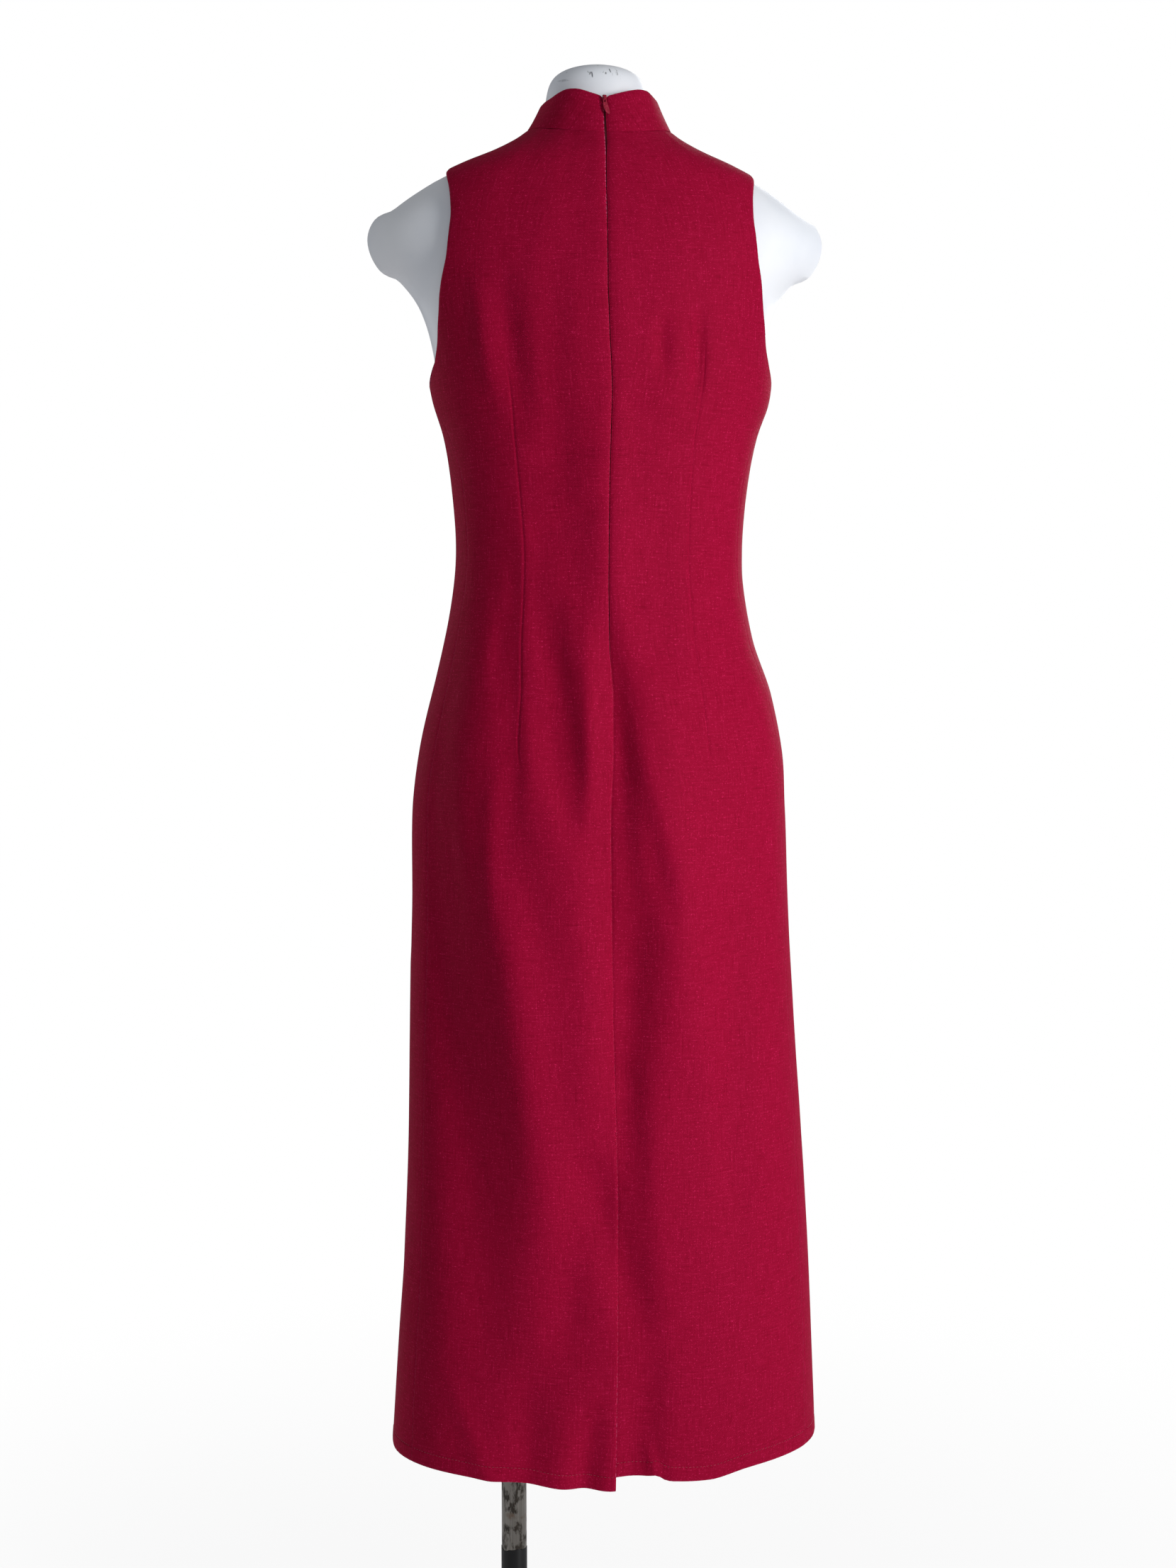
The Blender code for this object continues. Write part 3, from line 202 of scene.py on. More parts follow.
# Folds: each runs straight between two places, given as an angle and a height;
# depth is positive outwards, width is the reach to either side
Fold = namedtuple("Fold", "top_angle top bottom_angle bottom depth width")
FOLDS = (
    Fold(22.0, 1.342, 32.5, 1.044, -0.0020, 0.0145),
    Fold(44.5, 1.298, 41.5, 1.158, -0.0035, 0.0115),
    Fold(54.5, 1.288, 52.5, 1.186, 0.0027, 0.0095),
    Fold(-41.5, 1.262, -39.5, 1.184, -0.0041, 0.0060),
    Fold(-24.5, 1.256, -24.0, 1.202, -0.0033, 0.0080),
    Fold(4.0, 1.200, 0.5, 0.934, 0.0059, 0.0215),
    Fold(47.0, 1.106, 30.5, 0.816, 0.0028, 0.0095),
    Fold(45.0, 1.054, 34.0, 0.810, -0.0042, 0.0185),
    Fold(2.0, 1.038, -9.0, 0.760, -0.0051, 0.0115),
    Fold(21.5, 1.032, 13.0, 0.874, 0.0030, 0.0100),
    Fold(31.0, 1.026, 12.0, 0.802, -0.0074, 0.0190),
    Fold(54.0, 1.022, 47.5, 0.924, -0.0013, 0.0075),
    Fold(12.5, 1.010, 9.0, 0.818, 0.0040, 0.0085),
    Fold(72.5, 1.002, 65.0, 0.590, -0.0030, 0.0155),
    Fold(6.5, 1.000, -8.5, 0.610, -0.0052, 0.0225),
    Fold(37.5, 0.996, 25.5, 0.872, 0.0009, 0.0070),
    Fold(-17.5, 0.974, -32.5, 0.590, 0.0075, 0.0260),
    Fold(35.5, 0.954, 17.0, 0.826, -0.0028, 0.0110),
    Fold(-8.5, 0.922, -25.5, 0.760, 0.0024, 0.0090),
    Fold(64.5, 0.904, 58.0, 0.686, -0.0018, 0.0110),
    Fold(2.5, 0.890, 0.5, 0.600, -0.0050, 0.0175),
    Fold(45.0, 0.890, 45.5, 0.716, 0.0026, 0.0100),
    Fold(-12.5, 0.872, -23.5, 0.744, -0.0035, 0.0115),
    Fold(-47.5, 0.872, -47.5, 0.430, -0.0054, 0.0235),
    Fold(70.0, 0.862, 45.5, 0.270, -0.0085, 0.0295),
    Fold(43.5, 0.848, 18.5, 0.666, -0.0023, 0.0190),
    Fold(-14.0, 0.822, 1.5, 0.484, -0.0085, 0.0205),
    Fold(42.5, 0.816, 29.0, 0.448, 0.0075, 0.0205),
    Fold(-7.5, 0.620, -15.5, 0.294, -0.0025, 0.0125),
    Fold(12.0, 0.596, 25.0, 0.334, -0.0052, 0.0205),
    Fold(11.0, 0.552, -10.0, 0.382, -0.0085, 0.0200),
    Fold(-13.0, 0.384, -8.0, 0.168, -0.0061, 0.0180),
    Fold(35.0, 0.380, 39.0, 0.172, -0.0058, 0.0185),
    Fold(61.5, 0.350, 40.0, 0.188, 0.0023, 0.0090),
    Fold(11.5, 0.336, 17.0, 0.176, -0.0075, 0.0130),
    Fold(100.0, 0.920, 94.0, 0.700, -0.0030, 0.014),
    Fold(-98.0, 0.900, -102.0, 0.650, -0.0030, 0.014),
    Fold(118.0, 0.560, 110.0, 0.150, -0.0040, 0.018),
    Fold(-112.0, 0.600, -104.0, 0.150, 0.0040, 0.020),
    Fold(152.0, 1.030, 164.0, 0.850, -0.0035, 0.013),
    Fold(-155.0, 1.020, -166.0, 0.860, -0.0032, 0.012),
    Fold(146.0, 1.250, 152.0, 1.170, -0.0018, 0.010),
    Fold(-147.0, 1.245, -151.0, 1.165, -0.0018, 0.010),
    Fold(168.0, 0.760, 152.0, 0.450, 0.0035, 0.022),
    Fold(-160.0, 0.700, -144.0, 0.400, -0.0035, 0.018),
    Fold(140.0, 0.520, 134.0, 0.150, -0.0035, 0.015),
    Fold(-176.0, 0.480, -172.0, 0.150, -0.0035, 0.016),
    Fold(-136.0, 0.440, -130.0, 0.150, 0.0035, 0.016),
)

# Finer creases, each straight between two places, as wide as their reach
Crease = namedtuple("Crease", "angle height end_angle end_height depth reach")
CREASES = (
    Crease(-13.6, 0.297, -18.8, 0.258, 0.0020, 0.0034),
    Crease(-18.2, 0.292, -21.6, 0.258, -0.0016, 0.0045),
    Crease(-20.5, 0.2830, -31.0, 0.2750, -0.0014, 0.0040),
    Crease(0.0, 1.144, 42.0, 1.134, -0.0020, 0.0085),
    Crease(2.0, 1.180, 34.0, 1.172, -0.0009, 0.0055),
    Crease(-1.0, 1.092, 43.0, 1.074, -0.0019, 0.0100),
    Crease(4.0, 1.112, 30.0, 1.108, 0.0008, 0.0060),
    Crease(-3.0, 1.182, -24.0, 1.168, -0.0009, 0.0050),
    Crease(-4.0, 1.030, -20.0, 1.008, -0.0012, 0.0080),
    Crease(172.0, 1.085, 138.0, 1.070, -0.0016, 0.0095),
    Crease(-170.0, 1.120, -142.0, 1.108, -0.0015, 0.0090),
)

# Darts of the back, as angle and height, and of the front, mirrored about its middle
DartPoint = namedtuple("DartPoint", "height angle")
DART_LEFT = (
    DartPoint(0.873, 35.7),
    DartPoint(0.885, 37.9),
    DartPoint(0.945, 40.2),
    DartPoint(0.995, 42.4),
    DartPoint(1.053, 44.2),
    DartPoint(1.137, 46.0),
    DartPoint(1.217, 45.7),
)
DART_RIGHT = (
    DartPoint(0.871, 40.6),
    DartPoint(0.902, 38.9),
    DartPoint(0.941, 39.2),
    DartPoint(0.977, 41.1),
    DartPoint(1.011, 43.0),
    DartPoint(1.063, 44.2),
    DartPoint(1.102, 43.6),
    DartPoint(1.161, 42.2),
    DartPoint(1.242, 43.4),
)
DART_FRONT = (
    DartPoint(0.900, 36.0),
    DartPoint(1.040, 41.0),
    DartPoint(1.165, 38.0),
)
DART_GROOVE = 0.0005
DART_GROOVE_REACH = 0.0010
DART_FADE = 0.030

# Unevenness of the cloth: cells round the figure, cell height, and depth
Ripple = namedtuple("Ripple", "cells height depth seed")
RIPPLES = (
    Ripple(26, 0.150, 0.0006, 11),
    Ripple(48, 0.060, 0.00025, 12),
    Ripple(96, 0.030, 0.00009, 13),
)
PUCKER_HEIGHT = 0.013
PUCKER_DEPTH = 0.00030
PUCKER_REACH = 0.006

# Collar: height of its top edge round the neck, and how far that edge leans in
CollarPlace = namedtuple("CollarPlace", "angle top lean")
COLLAR_LEFT = (
    CollarPlace(0.0, 1.4375, 0.0125),
    CollarPlace(12.0, 1.4412, 0.0125),
    CollarPlace(24.0, 1.4448, 0.0130),
    CollarPlace(36.0, 1.4460, 0.0140),
    CollarPlace(48.0, 1.4445, 0.0152),
    CollarPlace(60.0, 1.4425, 0.0155),
    CollarPlace(75.0, 1.4418, 0.0140),
    CollarPlace(90.0, 1.4398, 0.0120),
    CollarPlace(110.0, 1.4340, 0.0115),
    CollarPlace(140.0, 1.4200, 0.0105),
    CollarPlace(180.0, 1.4055, 0.0090),
)
COLLAR_RIGHT = (
    CollarPlace(0.0, 1.4375, 0.0125),
    CollarPlace(12.0, 1.4408, 0.0125),
    CollarPlace(24.0, 1.4440, 0.0125),
    CollarPlace(36.0, 1.4466, 0.0130),
    CollarPlace(46.0, 1.4470, 0.0130),
    CollarPlace(54.0, 1.4455, 0.0130),
    CollarPlace(62.0, 1.4442, 0.0128),
    CollarPlace(75.0, 1.4440, 0.0122),
    CollarPlace(90.0, 1.4430, 0.0118),
    CollarPlace(110.0, 1.4370, 0.0112),
    CollarPlace(140.0, 1.4215, 0.0105),
    CollarPlace(180.0, 1.4055, 0.0090),
)
COLLAR_BOW = 0.15
COLLAR_CORNER = 0.004
COLLAR_INNER_TILT = 0.25
COLLAR_TUCK = ((-0.0026, 0.0020), (-0.0010, 0.0019))
COLLAR_COLUMN_STEP = 0.0020

# Stitches
STITCH_LENGTH = 0.0021
STITCH_PITCH = 0.0032
STITCH_RADIUS = 0.00021
STITCH_SINK = -0.0003
FACING_END = ((12.2, 12.2, 2.6), (0.2690, 0.2573, 0.2568))
THREAD_PITCH = 0.0007

# Zip
ZIP_TOOTH_PITCH = 0.0013
ZIP_TOOTH = (0.0034, 0.00055, 0.00075)

# Floor: share of its own glow near the figure, and where it fades to white
FLOOR_GLOW = 0.86
FLOOR_FADE = (0.25, 1.3)

# Scratches at the back of the form's neck
Mark = namedtuple("Mark", "x height width length lean strength")
NECK_MARKS = (
    Mark(0.0066, 1.4588, 0.0007, 0.0032, 0.08, 1.0),
    Mark(0.0082, 1.4600, 0.0010, 0.0018, -0.30, 0.8),
    Mark(0.0098, 1.4612, 0.0006, 0.0014, 0.30, 0.5),
    Mark(-0.0087, 1.4630, 0.0007, 0.0024, 0.35, 1.0),
    Mark(-0.0050, 1.4601, 0.0010, 0.0012, 0.0, 0.8),
    Mark(-0.0030, 1.4612, 0.0005, 0.0014, -0.40, 0.4),
    Mark(-0.0149, 1.4614, 0.0006, 0.0030, 0.15, 0.6),
    Mark(0.0300, 1.4560, 0.0045, 0.0014, 1.5, 0.35),
)

# Stand
POLE_X = 0.0740
BASE_RADIUS = 0.170


def smooth_curve(places, values, at):
    """Smooth curve through a table's values, level beyond its ends."""
    x = np.asarray(places, float)
    y = np.asarray(values, float)
    steps = np.diff(y) / np.diff(x)
    slopes = np.zeros_like(y)
    same_way = steps[:-1] * steps[1:] > 0.0
    lean = 0.5 * (steps[:-1] + steps[1:])
    cap = 3.0 * np.minimum(abs(steps[:-1]), abs(steps[1:]))
    slopes[1:-1] = np.where(same_way, np.sign(lean) * np.minimum(abs(lean), cap), 0.0)
    slopes[0] = steps[0]
    slopes[-1] = steps[-1]
    at = np.clip(np.asarray(at, float), x[0], x[-1])
    i = np.clip(np.searchsorted(x, at, side="right") - 1, 0, len(x) - 2)
    span = x[i + 1] - x[i]
    t = (at - x[i]) / span
    return (
        (1 + 2 * t) * (1 - t) ** 2 * y[i]
        + t * (1 - t) ** 2 * span * slopes[i]
        + t * t * (3 - 2 * t) * y[i + 1]
        + t * t * (t - 1) * span * slopes[i + 1]
    )


def eased(share):
    """Share from 0 to 1 with a soft start and end."""
    return share * share * (3.0 - 2.0 * share)


def column(table, name):
    return [getattr(row, name) for row in table]


def along(table, name, at, key="height"):
    """A table's column read smoothly at a height, or at another key."""
    return smooth_curve(column(table, key), column(table, name), at)


def turned(angle):
    """The same angle, from -180 to 180."""
    return (np.asarray(angle, float) + 180.0) % 360.0 - 180.0


def section_point(angle, height):
    """Point of the dress's smooth outer form, before its folds."""
    angle, height = np.broadcast_arrays(np.asarray(angle, float), np.asarray(height, float))
    side = np.sin(np.radians(angle))
    back = np.cos(np.radians(angle))
    half_width = along(SECTIONS, "half_width", height)
    depth = np.where(back > 0, along(SECTIONS, "back", height), along(SECTIONS, "front", height))
    power = along(SECTIONS, "roundness", height)
    reach = ((abs(side) / half_width) ** power + (abs(back) / depth) ** power) ** (-1 / power)
    shift = along(SECTIONS, "shift", height)
    return np.stack([shift + reach * side, reach * back, height], axis=-1)


def outward(surface, angle, height):
    """Unit normal of a surface of angle and height, by small steps."""
    turn = 0.2
    rise = 0.0004
    across = surface(angle + turn, height) - surface(angle - turn, height)
    up = surface(angle, height + rise) - surface(angle, height - rise)
    normal = np.cross(up, across)
    return normal / np.linalg.norm(normal, axis=-1, keepdims=True)


def fold_depth(angle, height):
    """How far the folds move the cloth out at a place."""
    angle = turned(angle)
    point = section_point(angle, height)
    reach = np.hypot(point[..., 0], point[..., 1])
    depth = np.zeros(np.shape(reach))
    for fold in FOLDS:
        t = (height - fold.bottom) / (fold.top - fold.bottom)
        middle = fold.bottom_angle + (fold.top_angle - fold.bottom_angle) * t
        across = np.radians(turned(angle - middle)) * reach / fold.width
        fade = np.sin(math.pi * np.clip(t, 0.0, 1.0)) ** 0.8
        depth += fold.depth * fade * np.exp(-across * across)
    return depth


def dress_point(angle, height):
    """Point of the dress's outer face, folds included."""
    normal = outward(section_point, np.asarray(angle, float), np.asarray(height, float))
    return section_point(angle, height) + normal * fold_depth(angle, height)[..., None]


def crease_depth(angle, height):
    """How far the finer creases move the cloth out at a place."""
    point = section_point(angle, height)
    reach = np.hypot(point[..., 0], point[..., 1])
    depth = np.zeros(np.shape(reach))
    for crease in CREASES:
        run = math.radians(crease.end_angle - crease.angle) * reach
        rise = crease.end_height - crease.height
        across = np.radians(turned(angle - crease.angle)) * reach
        up = height - crease.height
        length = np.hypot(run, rise)
        share = (across * run + up * rise) / (length * length)
        aside = (up * run - across * rise) / length
        fade = np.sin(math.pi * np.clip(share, 0.0, 1.0)) ** 0.7
        depth += crease.depth * fade * np.exp(-((aside / crease.reach) ** 2))
    return depth


def lattice_noise(angle, height, ripple):
    """Smooth noise from -1 to 1 round the figure, from a seeded lattice."""
    table = np.random.RandomState(ripple.seed).uniform(-1.0, 1.0, (ripple.cells, 256))
    x = (np.asarray(angle, float) % 360.0) / 360.0 * ripple.cells
    y = np.asarray(height, float) / ripple.height
    i = np.floor(x).astype(int)
    j = np.floor(y).astype(int)
    s = eased(x - i)
    t = eased(y - j)
    low = table[i % ripple.cells, j % 256] * (1 - s) + table[(i + 1) % ripple.cells, j % 256] * s
    high = table[i % ripple.cells, (j + 1) % 256] * (1 - s)
    high += table[(i + 1) % ripple.cells, (j + 1) % 256] * s
    return low * (1 - t) + high * t


def ripple_depth(angle, height):
    return sum(ripple.depth * lattice_noise(angle, height, ripple) for ripple in RIPPLES)


def hem_level(angle):
    """Height of the hem at an angle; the right side's angles are negative."""
    angle = turned(angle)
    left = along(HEM_LEFT, "height", abs(angle), "angle")
    right = along(HEM_RIGHT, "height", abs(angle), "angle")
    return np.where(angle >= 0, left, right)


def neck_level(angle):
    """Height of the neckline, lower at centre front."""
    back = np.cos(np.radians(np.asarray(angle, float)))
    drop = np.where(back > 0, NECK_SIDE - NECK_BACK, NECK_SIDE - NECK_FRONT)
    return NECK_SIDE - drop * back * back


def row_height(level, angle):
    """True height of a row: the lowest rows follow the hem, the highest the neckline."""
    low_share = (SKIRT_TOP - level) / (SKIRT_TOP - LOWEST_LEVEL)
    low = SKIRT_TOP - (SKIRT_TOP - hem_level(angle)) * low_share
    high_share = (level - YOKE_LEVEL) / (NECK_SIDE - YOKE_LEVEL)
    high = YOKE_LEVEL + (neck_level(angle) - YOKE_LEVEL) * high_share
    return np.where(level < SKIRT_TOP, low, np.where(level > YOKE_LEVEL, high, level))


def fine_levels():
    """Levels of a panel's rows, closer together at the hem, the armhole and the neck."""
    hem = LOWEST_LEVEL + np.array([
        0.0, 0.0004, 0.0009, 0.0016, 0.0030, 0.0052, 0.0078, 0.0100, 0.0112, 0.0118,
        0.0122, 0.0126, 0.0130, 0.0136, 0.0144, 0.0160, 0.0185,
    ])
    skirt = np.arange(hem[-1] + ROW_STEP, 1.196, ROW_STEP)
    armhole = [
        1.1985, 1.2000, 1.2010, 1.2016, 1.2020, 1.2023, 1.2028, 1.2034, 1.2042, 1.2051, 1.2062,
        1.2076, 1.2092, 1.2110, 1.2132, 1.2158, 1.2188,
    ]
    yoke = np.arange(1.222, 1.3685, ROW_STEP)
    shoulder = np.arange(1.3700, 1.3885, 0.0013)
    neck = np.arange(1.3900, 1.4150, 0.0021)
    neck_edge = [1.4160, 1.4168, 1.4174, 1.4180]
    return np.concatenate([hem, skirt, armhole, yoke, shoulder, neck, neck_edge])


def seam_inset(angle, height, gap):
    """Half a seam's gap, as an angle."""
    point = section_point(angle, height)
    return np.degrees(0.5 * gap / np.hypot(point[..., 0], point[..., 1]))


def side_reach(name, height):
    """Angle from a panel's middle to its side edge; the seam leans forward below the armhole."""
    share = (height - SIDE_SEAM_TURN_START) / (ARMHOLE_BOTTOM - SIDE_SEAM_TURN_START)
    seam = SIDE_SEAM_ANGLE + SIDE_SEAM_TURN * eased(np.clip(share, 0.0, 1.0))
    seam = seam if name == "back_reach" else 180.0 - seam
    return np.where(height < ARMHOLE_BOTTOM, seam, along(ARMHOLE, name, height))


def under_step(side, angle, height):
    """How far the vent's underlap is set in under the panel that laps over it."""
    if side >= 0:
        return np.zeros(np.shape(angle))
    point = section_point(angle, height)
    across = point[..., 0] - along(SECTIONS, "shift", height)
    near = np.clip((across + VENT_STEP_START) / VENT_STEP_BREADTH, 0.0, 1.0)
    low = np.clip((VENT_STEP_TOP - height) / VENT_STEP_RUN, 0.0, 1.0)
    return (CLOTH_WALL + VENT_ROOM) * eased(near) * eased(low)


def line_columns(width, step):
    """Places across a strip between two seams, closer together near each seam."""
    near = np.array(NEAR_LINE)
    count = max(4, int(round((width - 2 * near[-1]) / step)) + 1)
    middle = np.linspace(near[-1], width - near[-1], count)[1:-1]
    return np.concatenate([near, middle, width - near[::-1]])


def panel_places(lines, typical_widths, step):
    """Grids of angle and height of a panel's points, spread between the lines of its edges and darts.

    lines are functions of height that give the angles of the panel's edges and darts.
    """
    levels = fine_levels()[:, None]
    strips = [line_columns(width, step) for width in typical_widths]
    columns = sum(len(strip) for strip in strips) - (len(strips) - 1)
    heights = np.repeat(levels, columns, axis=1)
    for _ in range(6):
        parts = []
        for k, strip in enumerate(strips):
            own = slice(sum(len(s) - 1 for s in strips[:k]), sum(len(s) - 1 for s in strips[:k]) + len(strip))
            start = lines[k](heights[:, own])
            end = lines[k + 1](heights[:, own])
            middle = section_point(0.5 * (start + end), heights[:, own])
            reach = np.hypot(middle[..., 0], middle[..., 1])
            width = np.radians(abs(end - start)) * reach
            near = NEAR_LINE[-1]
            inner = (strip - near) / (typical_widths[k] - 2 * near) * (width - 2 * near) + near
            place = np.where(strip < near, strip, inner)
            place = np.where(strip > typical_widths[k] - near, width - (typical_widths[k] - strip), place)
            angle = start + (end - start) * place / width
            parts.append(angle if k == 0 else angle[:, 1:])
        angles = np.concatenate(parts, axis=1)
        heights = row_height(levels, angles)
    return angles, heights


def line_groove(angles, heights, line, table):
    """Narrow groove along a dart, fading out at its ends."""
    point = section_point(angles, heights)
    away = np.radians(turned(angles - line(heights))) * np.hypot(point[..., 0], point[..., 1])
    groove = np.exp(-((away / DART_GROOVE_REACH) ** 2))
    rise = np.clip((heights - table[0].height) / DART_FADE, 0.0, 1.0)
    fall = np.clip((table[-1].height - heights) / DART_FADE, 0.0, 1.0)
    return DART_GROOVE * groove * eased(rise) * eased(fall)


def distance_to(edge, grid):
    """Distance of each point of a grid to a line of points."""
    shares = np.linspace(0.0, 1.0, 8, endpoint=False)[:, None, None]
    fine = (edge[:-1] + (edge[1:] - edge[:-1]) * shares).reshape(-1, 3)
    tree = KDTree(len(fine))
    for i, place in enumerate(fine):
        tree.insert(place, i)
    tree.balance()
    return np.array([tree.find(place)[2] for place in grid.reshape(-1, 3)]).reshape(grid.shape[:2])


def beside(distance, reach):
    """1 at an edge, falling softly to 0 beyond the reach."""
    return np.exp(-((distance / reach) ** 2))


def cut_places(grid):
    """Places of a sheet's points on its flat cut, in metres."""
    across = np.linalg.norm(np.diff(grid, axis=1), axis=2)
    up = np.linalg.norm(np.diff(grid, axis=0), axis=2)
    u = np.concatenate([np.zeros((len(grid), 1)), np.cumsum(across, axis=1)], axis=1)
    v = np.concatenate([np.zeros((1, grid.shape[1])), np.cumsum(up, axis=0)], axis=0)
    middle = grid.shape[1] // 2
    return u - u[:, middle:middle + 1], np.repeat(v[:, middle:middle + 1], grid.shape[1], axis=1)


def cloth_piece(name, outer, inner, wear_and_highlight, material):
    """One closed sheet between two grids of points, with its flat cut as a map."""
    rows, columns = outer.shape[:2]
    count = rows * columns
    u, v = cut_places(outer)
    points = np.concatenate([outer.reshape(-1, 3), inner.reshape(-1, 3)])
    cell = (np.arange(rows - 1)[:, None] * columns + np.arange(columns - 1)[None, :]).ravel()
    quads = np.stack([cell, cell + 1, cell + columns + 1, cell + columns], axis=1)
    rim = np.concatenate([
        np.arange(columns),
        np.arange(1, rows) * columns + columns - 1,
        (rows - 1) * columns + np.arange(columns - 2, -1, -1),
        np.arange(rows - 2, 0, -1) * columns,
    ])
    after = np.roll(rim, -1)
    edge_quads = np.stack([after, rim, rim + count, after + count], axis=1)
    faces = np.concatenate([quads, quads[:, ::-1] + count, edge_quads])
    middle = outer[rows // 2, columns // 2]
    side = np.cross(outer[rows // 2, columns // 2 + 1] - middle, outer[rows // 2 + 1, columns // 2] - middle)
    if np.dot(side, middle - inner[rows // 2, columns // 2]) < 0:
        faces = faces[:, ::-1]
    mesh = bpy.data.meshes.new(name)
    mesh.from_pydata(points.tolist(), [], faces.tolist())
    cut = np.stack([np.tile(u.ravel(), 2), np.tile(v.ravel(), 2)], axis=1)
    layer = mesh.uv_layers.new(name=CUT_MAP)
    corners = np.zeros(len(mesh.loops), int)
    mesh.loops.foreach_get("vertex_index", corners)
    layer.data.foreach_set("uv", cut[corners].ravel())
    wear = mesh.attributes.new(WEAR_AND_HIGHLIGHT_ATTRIBUTE, "FLOAT", "POINT")
    wear.data.foreach_set("value", np.tile(wear_and_highlight.ravel(), 2))
    mesh.shade_smooth()
    mesh.set_sharp_from_angle(angle=math.radians(50.0))
    mesh.materials.append(material)
    piece = bpy.data.objects.new(name, mesh)
    bpy.context.scene.collection.objects.link(piece)
    return piece


def edge_shape(side, base, heights):
    """How far out a panel's edges stand, and how much they are lightened by wear and, along the lapping lip at centre
    back, also by a painted highlight.
    """
    first = distance_to(base[:, 0], base)
    last = distance_to(base[:, -1], base)
    hem = distance_to(base[0], base)
    neck = distance_to(base[-1], base)
    open_side = heights > ARMHOLE_BOTTOM
    out = -SEWN_ROLL * beside(neck, SEWN_ROLL_REACH) - 0.5 * EDGE_ROLL * beside(hem, EDGE_ROLL_REACH)
    wear_and_highlight = 0.6 * beside(hem, WEAR_AND_HIGHLIGHT_REACH)
    sides = (last,) if side else (first, last)
    for edge in sides:
        finished = EDGE_ROLL * beside(edge, EDGE_ROLL_REACH)
        sewn = SEWN_ROLL * beside(edge, SEWN_ROLL_REACH)
        out -= np.where(open_side, finished, sewn)
        wear_and_highlight += np.where(open_side, 0.5, 0.15) * beside(edge, WEAR_AND_HIGHLIGHT_REACH)
    if side:
        closed = eased(np.clip((heights - VENT_TOP) / VENT_SLANT, 0.0, 1.0))
        out -= EDGE_ROLL * beside(first, EDGE_ROLL_REACH)
        out += closed * LIP_RISE * (1.0 - beside(first, LIP_REACH)) * beside(first, LIP_FADE)
        if side > 0:
            out += closed * OVER_LIP * beside(first, LIP_REACH)
            # Painted highlight on top of the wear: the lapping lip at centre back is lightened where it catches the
            # light
            wear_and_highlight += beside(first, WEAR_AND_HIGHLIGHT_REACH) * along(LIP_WEAR_AND_HIGHLIGHT, "strength", heights)
    pucker = Ripple(60, PUCKER_HEIGHT, PUCKER_DEPTH, 21)
    nearest = np.minimum(np.minimum(first, last), hem)
    out += PUCKER_DEPTH * lattice_noise(0.0 * heights, heights, pucker) * np.exp(-nearest / PUCKER_REACH)
    return out, wear_and_highlight


def sewn_panel(name, angles, heights, side, grooves, material):
    """Cloth panel with rolled edges, grooves at its darts and a stitched hem."""
    base = dress_point(angles, heights)
    normal = outward(dress_point, angles, heights)
    at_edges, wear_and_highlight = edge_shape(side, base, heights)
    out = ripple_depth(angles, heights) + crease_depth(angles, heights) + at_edges
    out -= under_step(side, angles, heights) + grooves
    over_hem = heights - hem_level(angles)
    band = eased(np.clip((HEM_DEPTH - over_hem) / 0.0010, 0.0, 1.0))
    out += HEM_BAND_OUT * band
    out -= HEM_STITCH_DIP * beside(over_hem - HEM_DEPTH, 0.0006)
    outer = base + normal * out[..., None]
    inner = outer - normal * (CLOTH_WALL * (1.0 + 0.5 * band))[..., None]
    return cloth_piece(name, outer, inner, wear_and_highlight, material)


def back_panel(side, table, material):
    """Back panel on one side: +1 is the wearer's left, -1 the right."""

    def start(height):
        seam = side * seam_inset(0.0, height, along(CENTRE_GAP, "width", height))
        if side > 0:
            return seam
        reach = VENT_UNDERLAP * np.clip((VENT_TOP - height) / VENT_SLANT, 0.0, 1.0)
        depth = section_point(0.0, height)[..., 1]
        return np.where(height > VENT_TOP, seam, np.degrees(np.arctan2(reach, depth)))

    def dart(height):
        return side * along(table, "angle", height)

    def end(height):
        reach = side_reach("back_reach", height)
        return side * (reach - seam_inset(side * reach, height, CLOSE_GAP))

    angles, heights = panel_places((start, dart, end), (0.100, 0.110), COLUMN_STEP_BACK)
    grooves = line_groove(angles, heights, dart, table)
    name = "back_left_cloth" if side > 0 else "back_right_cloth"
    return sewn_panel(name, angles, heights, side, grooves, material)


def front_panel(material):
    def start(height):
        reach = side_reach("front_reach", height)
        return 180.0 - reach + seam_inset(180.0 - reach, height, CLOSE_GAP)

    def end(height):
        reach = side_reach("front_reach", height)
        return 180.0 + reach - seam_inset(180.0 + reach, height, CLOSE_GAP)

    def left_dart(height):
        return 180.0 - along(DART_FRONT, "angle", height)

    def right_dart(height):
        return 180.0 + along(DART_FRONT, "angle", height)

    lines = (start, left_dart, right_dart, end)
    angles, heights = panel_places(lines, (0.150, 0.150, 0.150), COLUMN_STEP_FRONT)
    grooves = line_groove(angles, heights, left_dart, DART_FRONT)
    grooves += line_groove(angles, heights, right_dart, DART_FRONT)
    return sewn_panel("front_panel_cloth", angles, heights, 0, grooves, material)


def collar_place(name, angle):
    """A column of the collar's tables at an angle, the wearer's right side negative."""
    left = along(COLLAR_LEFT, name, abs(angle), "angle")
    right = along(COLLAR_RIGHT, name, abs(angle), "angle")
    return np.where(angle >= 0, left, right)


def collar_point(angle, share):
    """Point of the collar's outer face; share runs from the neck seam up to the top."""
    angle = np.asarray(angle, float)
    base_height = neck_level(angle)
    base = dress_point(angle, base_height)
    middle = along(SECTIONS, "shift", NECK_SIDE)
    across = np.stack([base[..., 0] - middle, base[..., 1]], axis=-1)
    across /= np.linalg.norm(across, axis=-1, keepdims=True)
    bow = share * (1.0 + COLLAR_BOW - COLLAR_BOW * share)
    point = base.copy()
    point[..., :2] -= across * (collar_place("lean", angle) * bow)[..., None]
    point[..., 2] = base_height + (collar_place("top", angle) - base_height) * share
    return point


